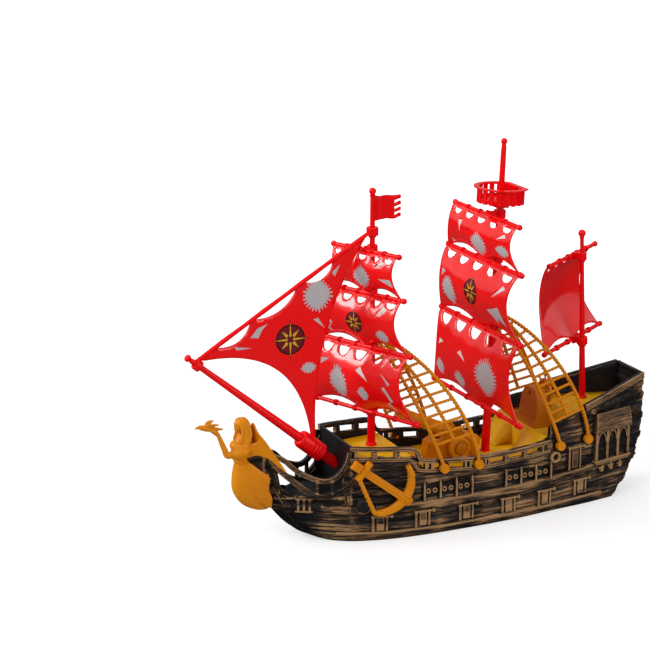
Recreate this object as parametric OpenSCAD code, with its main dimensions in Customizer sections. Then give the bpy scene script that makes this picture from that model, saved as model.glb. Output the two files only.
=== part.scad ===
// Three-masted toy sailing ship with moulded sails, rope nets, a deck cannon,
// a helm and a press button. Millimetres. The bow points to -X, port is -Y,
// +Z is up, and the origin lies on the flat bottom of the hull.

/* [Hull] */
// Greatest beam over the planking
hull_beam = 63.2; // [58:0.2:70]
// Thickness of the moulded shell
hull_wall = 1.8; // [1.4:0.1:2.2]
// Thickness of the flat bottom
hull_floor = 2; // [1.6:0.1:2.6]
// Height of the forecastle rail at the beakhead
fore_rail_z = 58.5; // [57:0.5:61]
// Height of the waist rail
waist_rail_z = 48; // [46:0.5:50]
// Height of the bulwark beside the helm, at its forward end
helm_rail_z = 57.5; // [56:0.5:60]
// Height of the rail at the stern
stern_rail_z = 77; // [74:0.5:82]
// Height of the slots that are cut through the rails
rail_slot_h = 3.6; // [2.5:0.1:4.2]
// Width of the rail caps and head rails
rail_w = 2.6; // [2:0.1:3.2]
// How far lids, frames and mouldings stand off the planking
relief = 0.9; // [0.6:0.1:1.4]

/* [Decks] */
// Height of the forecastle deck
fore_deck_z = 46; // [44:0.5:48]
// Height of the waist deck
waist_deck_z = 34; // [32:0.5:35]
// Height of the deck that carries the helm
helm_deck_z = 50; // [48:0.5:52]
// Height of the poop deck
poop_deck_z = 57; // [55:0.5:58]
// Thickness of the decks
deck_t = 1.6; // [1.2:0.1:2]
// Gap between a deck and the hull
deck_gap = 0.5; // [0.3:0.1:0.8]
// Height of the raised pads that carry the fore and mizzen masts
mast_pad_h = 3.6; // [2:0.2:5]

/* [Masts] */
// Place of the foremast
fore_x = -56; // [-58:0.5:-54]
// Height of the ball on the foremast
fore_top_z = 203.5; // [200:0.5:212]
// Diameter of the foremast at the deck
fore_d = 5; // [4.6:0.1:5.4]
// Place of the mainmast at the waist deck
main_x = 21.7; // [20.5:0.1:23]
// Height of the ball on the mainmast
main_top_z = 227; // [222:0.5:236]
// Diameter of the mainmast at the deck
main_d = 5.2; // [4.8:0.1:5.6]
// Aft rake of the mainmast in degrees
main_rake = 2.5; // [1.5:0.1:3]
// Place of the mizzenmast at the poop deck
mizzen_x = 89.8; // [87:0.1:92]
// Height of the ball on the mizzenmast
mizzen_top_z = 165; // [160:0.5:172]
// Diameter of the mizzenmast at the deck
mizzen_d = 4.2; // [3.8:0.1:4.6]
// Forward lean of the mizzenmast in degrees
mizzen_lean = 2.2; // [1:0.1:3]
// Thickness of the mast at its top, as a share of its foot
mast_taper = 0.56; // [0.5:0.02:0.7]
// Radial clearance of the yard clips on the masts
clip_gap = 0.05; // [0.02:0.01:0.08]
// Gap of a fixed plug in its socket
plug_gap = 0.1; // [0.05:0.01:0.2]

/* [Yards and sails] */
// Diameter of the yards
yard_d = 2.6; // [2.2:0.1:3]
// Heights of the foremast's yards, top first
fore_yard_z = [170.5, 145, 112.5, 72.5]; // [60:0.5:180]
// Half lengths of the foremast's yards
fore_yard_half = [25.5, 29.5, 35, 41]; // [20:0.5:45]
// Heights of the mainmast's yards, top first
main_yard_z = [184, 156.5, 115.5, 67.5]; // [60:0.5:186]
// Half lengths of the mainmast's yards
main_yard_half = [39, 45, 49.5, 54]; // [30:0.5:58]
// Heights of the mizzenmast's yards, top first
mizzen_yard_z = [152, 98]; // [90:0.5:156]
// Half lengths of the mizzenmast's yards
mizzen_yard_half = [30.5, 37.5]; // [24:0.5:42]
// Swing of the fore yards, port end aft, in degrees
fore_brace = 23; // [18:1:28]
// Swing of the main yards, port end aft, in degrees
main_brace = 1; // [-6:1:6]
// Swing of the mizzen yards, port end aft, in degrees
mizzen_brace = -57.5; // [-64:0.5:-50]
// Distance of the fore yards before the mast
fore_reach = 5.5; // [5.2:0.1:6.5]
// Distance of the main yards before the mast
main_reach = 9; // [7:0.1:10]
// Distance of the mizzen yards before the mast
mizzen_reach = 6.5; // [5:0.1:8]
// Thickness of the sail sheet
sail_t = 0.8; // [0.6:0.1:1.2]
// Belly of each fore sail, top first
fore_belly = [6, 8, 9]; // [4:0.5:10]
// Belly of each main sail, top first
main_belly = [6.5, 9.5, 6]; // [4:0.5:10]
// Belly of the mizzen sail
mizzen_belly = 12.5; // [9:0.5:14]
// Height of the arches along the foot of a sail
foot_arch = 6; // [4:0.2:8]
// Depth of the holes under each fore yard, top first
fore_hole = [3, 3.5, 5.7]; // [2.5:0.1:7]
// Depth of the holes under each main yard, top first
main_hole = [3.7, 5.1, 7.2]; // [2.5:0.1:8]
// Depth of the holes under the mizzen yard
mizzen_hole = 4; // [3:0.1:6]

/* [Bowsprit and jib] */
// Height of the bowsprit's tip
sprit_tip_z = 118.5; // [114:0.5:123]
// Place of the bowsprit's tip
sprit_tip_x = -173; // [-178:0.5:-168]
// Diameter of the bowsprit at its heel
sprit_d = 6.4; // [5.8:0.1:7.2]
// Thickness of the jib plate
jib_t = 1.2; // [0.8:0.1:1.6]
// Hollow of the jib's after edge
leech_hollow = 10.5; // [7:0.5:13]
// Hollow of the jib's foot
foot_hollow = 19.5; // [14:0.5:22]
// Diameter of the stay along the front of the jib
stay_d = 2.4; // [2:0.1:3]

/* [Nets] */
// Diameter of the side and middle ropes
net_rope_d = 2.1; // [1.7:0.1:2.5]
// Diameter of the rungs
net_rung_d = 1.6; // [1.3:0.1:1.9]
// Number of rungs
net_rungs = 11; // [8:1:12]
// Diameter of the round feet that plug into the hull
net_foot_d = 5.6; // [4.8:0.1:6.2]

/* [Cannon] */
// Height of the trunnions
trunnion_z = 51; // [50:0.2:52]
// Elevation of the barrel in degrees
barrel_lift = 26; // [22:1:28]
// Greatest diameter of the barrel
barrel_d = 9; // [8:0.2:9.6]
// Outside diameter of the cannon's wheels
gun_wheel_d = 13.6; // [12:0.2:14.4]

/* [Helm] */
// Width of the pedestal's body at its foot
pedestal_w = 24; // [21:0.5:26]
// Height of the pedestal
pedestal_h = 22; // [21:0.5:25]
// Diameter of the helm's rim
helm_d = 16; // [14:0.5:18]

/* [Sound] */
// Diameter of the press button
button_d = 9; // [7.5:0.1:10]
// How far the button stands out of the hull
button_proud = 2; // [1.8:0.1:2.6]
// Diameter of the loudspeaker
speaker_d = 27; // [24:0.5:28]

/* [Hidden] */

black = "#1d1b1a";
yellow = "#d0a51c";
red = "#d8101c";
tan = "#c87d1a";
steel = "#b8bbc0";
$fn = 48;

// Table of offsets of the hull. Each row is one station from stem to stern:
// place and half breadth at the bottom, then place and half breadth at the rail.
offsets = [
    [-99, 1.8, -127, 1.8],
    [-96.5, 8, -121, 4.6],
    [-93, 14.5, -113, 8.3],
    [-87, 20, -103, 13],
    [-78, 25, -90, 19],
    [-64, 29, -76, 24.8],
    [-46, 31.6, -60, 28.5],
    [-24, 32.4, -38, 31.2],
    [2, 32, -8, 31.6],
    [30, 30.4, 30, 31.6],
    [58, 26.8, 60, 29.4],
    [80, 24.4, 92, 23.2],
    [101, 20.6, 125, 14.8]];
offsets_beam = 63.2;
station_steps = 2;
hull_full_z = 53;
hull_levels = [0, 3, 8, 16, 27, 40, 53, 66, 82];
stem_round = 3.3;
stern_round = 2.2;

function unit(v) = v / norm(v);
function mix(a, b, t) = a + (b - a) * t;
function spline(a, b, c, d, t) =
    0.5 * (2 * b + (c - a) * t + (2 * a - 5 * b + 4 * c - d) * t * t + (3 * b - a - 3 * c + d) * t * t * t);
function smooth(rows, steps) = let (last = len(rows) - 1) concat(
    [for (i = [0:last - 1]) for (k = [0:steps - 1])
        spline(rows[max(i - 1, 0)], rows[i], rows[i + 1], rows[min(i + 2, last)], k / steps)],
    [rows[last]]);

stations = smooth(offsets, station_steps);
station_last = len(stations) - 1;

// Point of the hull at a station and height, moved in by inset
function hull_point(i, z, inset) =
    let (
        u = i / station_last,
        power = mix(stem_round, stern_round, u),
        w = z >= hull_full_z ? 1 : 1 - pow(1 - z / hull_full_z, power),
        s = stations[i],
        x = mix(s[0], s[2], w),
        y = mix(s[1], s[3], w) * hull_beam / offsets_beam)
    [x + inset * (1 - 2 * u), inset - y, z];

// Half breadth of the hull at a place and height, and the angle of its side there
function hull_y(x, z) = lookup(x, [for (i = [0:station_last]) let (p = hull_point(i, z, 0)) [p[0], -p[1]]]);
function hull_yaw(x, z) = atan((hull_y(x - 2, z) - hull_y(x + 2, z)) / 4);
function hull_in(x, z) = hull_y(x, z) - hull_wall;

// Closed solid between two grids of points of the same size
module solid_between(a, b) {
    m = len(a);
    n = len(a[0]);
    o = m * n;
    points = concat([for (r = a) for (p = r) p], [for (r = b) for (p = r) p]);
    skin = [for (i = [0:m - 2]) for (j = [0:n - 2]) let (p = i * n + j, q = p + n)
        each [[p, p + 1, q + 1], [p, q + 1, q], [o + p, o + q + 1, o + p + 1], [o + p, o + q, o + q + 1]]];
    ends = [for (j = [0:n - 2]) let (p = j, q = (m - 1) * n + j)
        each [[p + 1, p, o + p], [p + 1, o + p, o + p + 1], [q, q + 1, o + q + 1], [q, o + q + 1, o + q]]];
    sides = [for (i = [0:m - 2]) let (p = i * n, q = p + n, s = p + n - 1, t = s + n)
        each [[p, q, o + q], [p, o + q, o + p], [t, s, o + s], [t, o + s, o + t]]];
    polyhedron(points, concat(skin, ends, sides));
}

// Tube of half width a and half height b along a path, its width set across the given direction
module tube(path, a, b, sides, across) {
    last = len(path) - 1;
    points = [for (i = [0:last])
        let (
            t = unit(path[min(i + 1, last)] - path[max(i - 1, 0)]),
            n1 = unit(across - t * (across * t)),
            n2 = cross(t, n1))
        for (k = [0:sides - 1]) let (g = 360 * (k + 0.5) / sides)
            path[i] + a * cos(g) * n1 + b * sin(g) * n2];
    wall = [for (i = [0:last - 1]) for (k = [0:sides - 1])
        let (p = i * sides + k, q = i * sides + (k + 1) % sides)
        each [[p, p + sides, q + sides], [p, q + sides, q]]];
    caps = [for (k = [1:sides - 2])
        each [[0, k, k + 1], [last * sides, last * sides + k + 1, last * sides + k]]];
    polyhedron(points, concat(wall, caps));
}

// Rod between two points
module rod(p, q, d1, d2) {
    v = q - p;
    translate(p)
        rotate([0, acos(v[2] / norm(v)), atan2(v[1], v[0])])
            cylinder(h = norm(v), d1 = d1, d2 = d2);
}

// Plate whose outline is drawn in the XZ plane, from y0 to y1
module side_plate(y0, y1) {
    translate([0, y1, 0])
        rotate([90, 0, 0])
            linear_extrude(y1 - y0) children();
}

// Puts a piece on the port side: +X runs aft along the planking, -Y points out
module on_hull(x, z) {
    translate([x, -hull_y(x, z), z])
        rotate([0, 0, hull_yaw(x, z)]) children();
}

// Hull

// Side view of the rail, from the stem to the stern
stem_top_z = 53;
beak_z = 28;
bulkhead_x = -80;
waist_fore_x = -37;
helm_fore_x = 50;
poop_fore_x = 76;
fore_rail_drop = 3;
// How far the rail dips along the waist: place and depth
waist_dip = [[-22, 1.8], [-4, 3.2], [12, 3.2], [32, 1.8]];
waist_line = [for (p = waist_dip) [p[0], waist_rail_z - p[1]]];
sheer = concat([
    [-135, stem_top_z], [-121.5, stem_top_z], [-119.5, beak_z + 8], [-115, beak_z + 3], [-109, beak_z],
    [-96, beak_z], [-89, beak_z + 2], [-84, beak_z + 5.5], [-84, fore_rail_z - 12],
    [-82.2, fore_rail_z - 8], [bulkhead_x, fore_rail_z],
    [waist_fore_x - 5.5, fore_rail_z - fore_rail_drop], [waist_fore_x, waist_rail_z]],
    waist_line,
    [[helm_fore_x, waist_rail_z], [helm_fore_x + 0.3, helm_rail_z], [poop_fore_x - 2, helm_rail_z + 4],
    [poop_fore_x, helm_rail_z + 7], [126, stern_rail_z], [135, stern_rail_z]]);
function sheer_z(x) = lookup(x, [for (p = sheer) if (p[0] >= bulkhead_x) p]);

module hull_solid(inset, z0, y_mid) {
    levels = [for (z = hull_levels) max(z, z0)];
    solid_between(
        [for (i = [0:station_last]) [for (z = levels) hull_point(i, z, inset)]],
        [for (i = [0:station_last]) [for (z = levels) let (p = hull_point(i, z, inset)) [p[0], y_mid, z]]]);
}

// Rail along the planking through a few points in side view, standing proud of it
module rail(side_points, steps, half_h) {
    route = smooth(side_points, steps);
    tube([for (p = route) [p[0], -hull_y(p[0], p[1]), p[1]]], rail_w / 2, half_h, 4, [0, 1, 0]);
}

upper_head_rail = [
    [-81, fore_rail_z - 3], [-83, 47.5], [-88, 40.2], [-95, 37.7], [-103, 40.3], [-110, 44.6],
    [-116, 50.5], [-121.5, 53]];
lower_head_rail = [
    [-76, 41.8], [-82, 34.2], [-89, 29.8], [-96, 28], [-104, 31.5], [-112, 38.3], [-118, 44.2], [-123, 51]];
head_post_x = [-90, -98];

// Gun ports: place of each lid, its width and its height
lids = [
    [-63.5, 10.5, 11, 8.5], [-37, 11, 11, 8.5], [-8, 11, 11, 8.5], [21, 10.5, 11, 8.5],
    [47, 11, 11, 8.5], [74, 13, 11, 8.5], [68.5, 33, 11, 13]];
module gun_port_lid(w, h) {
    hull() {
        cube([w - 3, 2 * relief, h], center = true);
        cube([w - 3, 2 * relief - 0.6, h + 0.6], center = true);
    }
    for (x = [-1, 1])
        translate([x * w * 0.36, 0, 0])
            cube([1.3, 2 * relief + 0.8, h + 0.8], center = true);
    translate([0, -relief, h / 2])
        cube([w + 3.4, 1.6, 1.3], center = true);
}

// Panels of small ringed ports: place, length and height of each recess
ring_panels = [[-20, 27, 32, 9], [34.7, 27.5, 32, 8.6]];
ring_d = 3;
ring_root = 0.4;
ring_twist = 11;
module ring_panel_recess(w, h) {
    cube([w, 2 * relief, h], center = true);
}
module ring_panel_trim(w, h) {
    for (k = [0:3])
        translate([(k / 3 - 0.5) * w, 0, 0])
            cube([1, 2 * relief, h + 1.4], center = true);
    for (k = [0:2]) for (side = [-1, 1])
        translate([((k + 0.5) / 3 - 0.5) * w + side * ring_d * 0.72, relief + ring_root, 0])
            rotate([90, ring_twist * (2 * k + side), 0])
                difference() {
                    cylinder(h = 2 * relief + ring_root, d = ring_d, $fn = 6);
                    translate([0, 0, relief + ring_root])
                        cylinder(h = 2 * relief, d = ring_d * 0.5, $fn = 6);
                }
}

// Quarter gallery: a sloped roof, arched windows, a sill and pendants
gallery_x = 98;
gallery_w = 27;
gallery_sill_z = 27;
gallery_eaves_z = 46;
gallery_top_z = 58;
gallery_t = 2.2;
module quarter_gallery() {
    window_w = gallery_w / 3 - 2.4;
    h = gallery_eaves_z - gallery_sill_z;
    on_hull(gallery_x, gallery_eaves_z)
        hull() {
            translate([-gallery_w / 2, -gallery_t - 1.6, 0])
                cube([gallery_w + 2, gallery_t + 2, 1]);
            translate([-gallery_w / 2, -0.6, gallery_top_z - gallery_eaves_z - 2])
                cube([gallery_w - 1, 1, 2]);
        }
    on_hull(gallery_x, gallery_sill_z)
        difference() {
            translate([-gallery_w / 2, -gallery_t, 0])
                cube([gallery_w, gallery_t + 1, h]);
            for (k = [-1:1])
                translate([k * gallery_w / 3, -gallery_t / 2, 0])
                    rotate([90, 0, 0])
                        linear_extrude(gallery_t) {
                            translate([-window_w / 2, 2])
                                square([window_w, h - 8]);
                            translate([0, h - 6])
                                circle(d = window_w, $fn = 12);
                        }
        }
    for (k = [-1:1])
        on_hull(gallery_x + k * 7.5, gallery_sill_z - 5) {
            hull() {
                translate([0, 0, 4.5])
                    cube([2, 2.4, 1], center = true);
                cube([2, 3, 3], center = true);
            }
            cube([4, 2.4, 1.4], center = true);
        }
    on_hull(gallery_x, gallery_sill_z)
        cube([gallery_w + 2, 2 * gallery_t + 1.4, 1.8], center = true);
}

// Slots of the rails: place and length
fore_slots = [[-72.5, 8.6], [-60, 10.4]];
waist_slots = [[-33, 1.9], [-27.8, 4], [-14.7, 10.2], [-4, 2], [2.7, 2.2], [12.5, 9.8],
    [25.5, 9.8], [38.5, 9.8]];
slot_drop = rail_w / 2 + 1.2;
// Places along the slot that steps down with the rail from the forecastle to the waist
step_slot = [-51.5, -42.5, -37, -36];
module step_slot_cut() {
    side_plate(-60, -25)
        polygon(concat(
            [for (x = step_slot) [x, sheer_z(x) - slot_drop]],
            [for (k = [3:-1:0]) [step_slot[k] - 0.8, sheer_z(step_slot[k]) - slot_drop - rail_slot_h]]));
}
module rail_slot(x, w) {
    on_hull(x, sheer_z(x) - slot_drop - rail_slot_h / 2)
        rotate([0, atan((sheer_z(x - w / 2) - sheer_z(x + w / 2)) / w), 0])
            cube([w, 6 * hull_wall, rail_slot_h], center = true);
}

// Deck posts stand on the floor: place, distance from the middle and the deck they carry
deck_posts = [
    [-66, 9, fore_deck_z], [-45, 20, fore_deck_z], [-27, 22, waist_deck_z], [14, 22, waist_deck_z],
    [76, 15, poop_deck_z], [112, 8, poop_deck_z]];
post_d = 5;

// Bosses that take the screws across the seam: place and height
hull_bosses = [[-88, 12], [-44, 20], [32, 20], [94, 40]];
boss_d = 6;
screw_d = 2.4;
screw_head_d = 4.6;
screw_reach = 8;

button_x = -73;
button_z = 22;
button_gap = 0.3;
board_back = 11;
board_w = 18;
board_shift = 6;
board_h = 18;
board_t = 1.2;
board_post_d = 3;

door_l = 36;
door_w = 26;
door_gap = 0.4;
speaker_x = 48;
speaker_ring_h = 5;
speaker_room = 0.5;

net_feet_fore = [[-24, 41], [-0.9, 40.3]];
net_feet_main = [[56, 43.5], [77.5, 44]];
net_pin_d = 2.2;
anchor_x = -61;
anchor_z = 35;
anchor_stand = 2.8;
anchor_roll = atan((hull_y(anchor_x, 20) - hull_y(anchor_x, 50)) / 30);
anchor_pins = [[-9, 0], [11, 0]];
anchor_turn = 37;

// Line of the bowsprit
sprit_heel = [-73, 0, 36];
sprit_tip = [sprit_tip_x, 0, sprit_tip_z];
sprit_dir = unit(sprit_tip - sprit_heel);
sprit_length = norm(sprit_tip - sprit_heel);
sprit_boss_d = 9.4;
sprit_boss_h = 7;

figure_pin_z = [29, 38];
figure_pin_d = 1.6;

module hull_inside(port) {
    // Beakhead deck and bulkhead
    translate([-121, -40, beak_z - hull_wall])
        cube([121 + bulkhead_x + 1.5, 40, hull_wall]);
    translate([bulkhead_x, -40, hull_floor])
        cube([1.5, 40, fore_rail_z - hull_floor]);
    translate(sprit_heel)
        rotate([0, acos(sprit_dir[2]), 180])
            cylinder(h = sprit_boss_h, d = sprit_boss_d);
    for (p = deck_posts)
        translate([p[0], -p[1], hull_floor / 2])
            cylinder(h = p[2] - deck_t - hull_floor / 2, d = post_d, $fn = 8);
    for (b = hull_bosses)
        translate([b[0], 0, b[1]])
            rotate([90, 0, 0])
                cylinder(h = 40, d = boss_d);
    translate([speaker_x, 0, hull_floor / 2])
        difference() {
            cylinder(h = speaker_ring_h, d = speaker_d + 2 * speaker_room + 2.4, $fn = 24);
            cylinder(h = 2 * speaker_ring_h, d = speaker_d + 2 * speaker_room, $fn = 24);
        }
    if (port)
        on_hull(button_x, button_z)
            for (x = [-1, 1]) for (z = [-1, 1])
                translate([board_shift + x * (board_w / 2 - 2), board_back, z * (board_h / 2 - 2)])
                    rotate([90, 0, 0])
                        cylinder(h = board_back + 2, d = board_post_d, $fn = 8);
}

module hull_trim() {
    rail(concat([[bulkhead_x + 0.5, fore_rail_z - 1], [-61, fore_rail_z - 2.4],
            [waist_fore_x - 5.5, fore_rail_z - fore_rail_drop - 1], [waist_fore_x, waist_rail_z - 1]],
            [for (p = waist_line) p - [0, 1]], [[helm_fore_x - 1, waist_rail_z - 1]]),
        2, 1.3);
    rail([[poop_fore_x, helm_rail_z + 6], [92, sheer_z(92) - 1], [108, sheer_z(108) - 1],
            [123.5, sheer_z(123.5) - 1]],
        2, 1.8);
    rail(upper_head_rail, 2, 1.3);
    rail(lower_head_rail, 2, 1.5);
    for (x = head_post_x)
        on_hull(x, 34)
            cube([1.6, 1.6, 11.5], center = true);
    for (p = lids)
        on_hull(p[0], p[1]) gun_port_lid(p[2], p[3]);
    for (p = ring_panels)
        on_hull(p[0], p[1]) ring_panel_trim(p[2], p[3]);
    quarter_gallery();
    // Scroll at the end of the waist rail
    on_hull(helm_fore_x + 3.6, 36)
        rotate([90, 0, 0])
            difference() {
                cylinder(h = 3 * relief, d = 7.4, center = true);
                cylinder(h = 4 * relief, d = 4, center = true);
            }
    // Carved block with three posts below the head rails
    on_hull(-105, 23)
        for (k = [-1:1])
            translate([k * 3, 0, 0])
                cube([1.5, 2 * relief + 1, 7], center = true);
}

module hull_half(port) {
    $fn = 12;
    intersection() {
        translate([-150, -60, 0])
            cube([300, 60, 100]);
        difference() {
            union() {
                difference() {
                    union() {
                        difference() {
                            hull_solid(0, 0, 0);
                            hull_solid(hull_wall, hull_floor, 1);
                        }
                        intersection() {
                            hull_solid(0.2, 0, 0);
                            hull_inside(port);
                        }
                    }
                    side_plate(-60, 1)
                        polygon(concat(sheer, [[135, 120], [-135, 120]]));
                    for (s = fore_slots)
                        rail_slot(s[0], s[1]);
                    for (s = waist_slots)
                        rail_slot(s[0], s[1]);
                    step_slot_cut();
                    for (p = ring_panels)
                        on_hull(p[0], p[1]) ring_panel_recess(p[2], p[3]);
                }
                hull_trim();
            }
            // Socket of the bowsprit
            translate(sprit_heel + sprit_dir * 1.5)
                rotate([0, acos(sprit_dir[2]), 180])
                    cylinder(h = 40, d = sprit_d + 2 * plug_gap, $fn = 24);
            // Opening for the battery door, holes under the loudspeaker
            translate([0, 0, hull_floor / 2])
                cube([door_l + 2 * door_gap, door_w + 2 * door_gap, 2 * hull_floor], center = true);
            for (a = [30:60:330])
                translate([speaker_x + 6.5 * cos(a), 6.5 * sin(a), -1])
                    cylinder(h = 2 * hull_floor, d = 2.2, $fn = 8);
            // Screw holes
            for (b = hull_bosses)
                translate([b[0], 0, b[1]])
                    rotate([90, 0, 0]) {
                        cylinder(h = port ? screw_reach + 2 : 90, d = screw_d + 2 * plug_gap);
                        if (!port)
                            translate([0, 0, screw_reach])
                                cylinder(h = 90, d = screw_head_d + 0.4);
                    }
            // Sockets of the nets, the anchor and the figurehead
            for (p = concat(net_feet_fore, net_feet_main))
                translate([p[0], -hull_y(p[0], p[1]) - 3, p[1]])
                    rotate([-90, 0, 0])
                        cylinder(h = 8, d = net_pin_d + 2 * plug_gap);
            on_hull(anchor_x, anchor_z)
                rotate([-anchor_roll, anchor_turn, 0])
                    for (p = anchor_pins)
                        translate([p[0], -3, p[1]])
                            rotate([-90, 0, 0])
                                cylinder(h = 9, d = net_pin_d + 2 * plug_gap);
            for (z = figure_pin_z)
                translate([-135, 0, z])
                    rotate([0, 90, 0])
                        cylinder(h = 14, d = figure_pin_d + 2 * plug_gap);
            if (port)
                on_hull(button_x, button_z)
                    rotate([90, 0, 0])
                        cylinder(h = 12, d = button_d + 2 * button_gap, center = true, $fn = 24);
        }
    }
}

module hull_port() {
    color(black) hull_half(true);
}

module hull_starboard() {
    color(black)
        mirror([0, 1, 0]) hull_half(false);
}

// Decks

// Plan of a deck that fills the hull between two places, clear of the side at both heights
module deck_plan(x0, x1, z_low, z_high, steps) {
    side = [for (k = [0:steps]) let (x = mix(x0, x1, k / steps))
        [x, min(hull_in(x, z_low), hull_in(x, z_high)) - deck_gap]];
    polygon(concat(side, [for (k = [steps:-1:0]) [side[k][0], -side[k][1]]]));
}

// Raised pad with sloped sides around a mast
module mast_pad(w, h) {
    hull() {
        translate([-w / 2, -w * 0.6, 0])
            cube([w, w * 1.2, 0.01]);
        translate([-w / 4, -w / 4, h - 0.01])
            cube([w / 2, w / 2, 0.01]);
    }
}

module fore_deck() {
    color(yellow)
        difference() {
            union() {
                translate([0, 0, fore_deck_z - deck_t])
                    linear_extrude(deck_t)
                        deck_plan(bulkhead_x + 1.8, waist_fore_x - 1, fore_deck_z - deck_t, fore_deck_z, 8);
                translate([fore_x, 0, fore_deck_z - 0.1])
                    mast_pad(24, mast_pad_h + 0.1);
                // Front wall of the forecastle, down to the waist deck
                let (half = hull_in(waist_fore_x, waist_deck_z) - deck_gap - 0.6)
                    translate([waist_fore_x - 2.6, -half, waist_deck_z + 0.1])
                        cube([1.6, 2 * half, fore_deck_z - waist_deck_z - 0.2]);
            }
            translate([fore_x, 0, 0])
                cylinder(h = 100, d = fore_d + 2 * plug_gap);
        }
}

module waist_deck() {
    color(yellow)
        difference() {
            translate([0, 0, waist_deck_z - deck_t])
                linear_extrude(deck_t)
                    deck_plan(waist_fore_x - 3, stair_x - 0.2, waist_deck_z - deck_t, waist_deck_z, 6);
            on_main()
                translate([0, 0, -10])
                    cylinder(h = 20, d = main_d + 2 * plug_gap);
            for (p = carriage_pins)
                translate([p[0], p[1], waist_deck_z - 5])
                    cylinder(h = 10, d = carriage_pin_d + 2 * plug_gap);
        }
}

stair_x = 33;
stair_top_x = 46.5;
poop_step_x = 68;
deck_stern_x = 121.5;
stair_recess = [8, 13];
deck_side = [
    [stair_x, waist_deck_z], [stair_top_x, helm_deck_z], [poop_step_x, helm_deck_z],
    [poop_step_x + 5, poop_deck_z], [deck_stern_x, poop_deck_z]];
module quarter_deck() {
    color(yellow)
        difference() {
            union() {
                intersection() {
                    linear_extrude(100)
                        deck_plan(stair_x, deck_stern_x, waist_deck_z - deck_t, poop_deck_z, 10);
                    side_plate(-50, 50)
                        polygon(concat(deck_side, [for (k = [len(deck_side) - 1:-1:0])
                            deck_side[k] - [0, deck_t]]));
                }
                translate([mizzen_x, 0, poop_deck_z - 0.1])
                    mast_pad(26, mast_pad_h + 0.1);
            }
            // Recess of the stair
            translate([stair_x - 1, -stair_recess[0], waist_deck_z + 2])
                cube([stair_top_x - stair_x - 3, 2 * stair_recess[0], stair_recess[1]]);
            on_mizzen()
                translate([0, 0, -20])
                    cylinder(h = 40, d = mizzen_d + 2 * plug_gap);
            for (p = pedestal_pins)
                translate([p[0], p[1], helm_deck_z - 5])
                    cylinder(h = 10, d = carriage_pin_d + 2 * plug_gap);
        }
}

// Masts

fore_foot_z = fore_deck_z + mast_pad_h;
mizzen_foot_z = poop_deck_z + mast_pad_h;
plug_h = 5;
collar_h = 1;
collar_rise = 0.7;
clip_h = 5;
clip_wall = 1.5;
seat_gap = 0.1;
net_lug_d = 2.2;
net_lug_l = 12;
fore_net_z = 119;
main_net_z = 123;
jib_ring_z = 181;
nest_seat_z = 188;
pole_d = 2.8;

module on_fore() {
    translate([fore_x, 0, fore_foot_z]) children();
}
module on_main() {
    translate([main_x, 0, waist_deck_z])
        rotate([0, main_rake, 0]) children();
}
module on_mizzen() {
    translate([mizzen_x, 0, mizzen_foot_z])
        rotate([0, -mizzen_lean, 0]) children();
}

// Diameter of a tapered mast at a height above its foot
function mast_at(d, h, z) = d * mix(1, mast_taper, z / h);

// Tapered spar on a plug, with a collar under each clip and a ball on top
module mast(d, h, seats, ball_d) {
    translate([0, 0, -plug_h])
        cylinder(h = plug_h + 0.01, d = d);
    cylinder(h = h, d1 = d, d2 = d * mast_taper);
    for (z = seats)
        translate([0, 0, z - clip_h / 2 - seat_gap - collar_h])
            cylinder(h = collar_h, d = mast_at(d, h, z) + 2 * collar_rise);
    translate([0, 0, h + ball_d * 0.3])
        sphere(d = ball_d);
}

fore_h = fore_top_z - fore_foot_z;
main_h = nest_seat_z - waist_deck_z;
mizzen_h = mizzen_top_z - mizzen_foot_z;

flag_l = 17;
flag_h = 12;
flag_t = 1;
flag_wave = 1.2;
flag_z = 188;
flag_steps = 8;
module flag() {
    side = [for (s = [-1, 1]) [for (i = [0:flag_steps]) let (u = i / flag_steps)
        [for (v = [0, 1]) [u * flag_l, flag_wave * sin(360 * u) + s * flag_t / 2, flag_h * v + 1.2 * u]]]];
    difference() {
        solid_between(side[0], side[1]);
        for (k = [0:2])
            translate([flag_l - 4.5, -5, flag_h * (k + 0.72) / 3 - 0.2])
                cube([5, 10, 1.3]);
    }
}

module foremast() {
    color(red)
        on_fore() {
            mast(fore_d, fore_h, [for (z = concat(fore_yard_z, [jib_ring_z])) z - fore_foot_z], 4.3);
            translate([0, 0, fore_net_z - fore_foot_z])
                rotate([90, 0, 0])
                    cylinder(h = net_lug_l, d = net_lug_d, center = true);
            translate([fore_d * mast_taper / 2 - 0.4, 0, flag_z - fore_foot_z]) flag();
        }
}

module mainmast() {
    color(red)
        on_main() {
            translate([0, 0, -plug_h])
                cylinder(h = plug_h + 0.01, d = main_d);
            cylinder(h = main_h, d1 = main_d, d2 = mast_at(main_d, main_h * 2, main_h));
            for (z = main_yard_z)
                translate([0, 0, z - waist_deck_z - clip_h / 2 - seat_gap - collar_h])
                    cylinder(h = collar_h,
                        d = mast_at(main_d, main_h * 2, z - waist_deck_z) + 2 * collar_rise);
            translate([0, 0, main_h - 0.01])
                cylinder(h = main_top_z - nest_seat_z, d = pole_d);
            translate([0, 0, main_top_z - waist_deck_z + 1])
                sphere(d = 3.9);
            translate([0, 0, main_net_z - waist_deck_z])
                rotate([90, 0, 0])
                    cylinder(h = net_lug_l, d = net_lug_d, center = true);
        }
}

module mizzenmast() {
    color(red)
        on_mizzen()
            mast(mizzen_d, mizzen_h, [for (z = mizzen_yard_z) z - mizzen_foot_z], 4.7);
}

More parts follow.
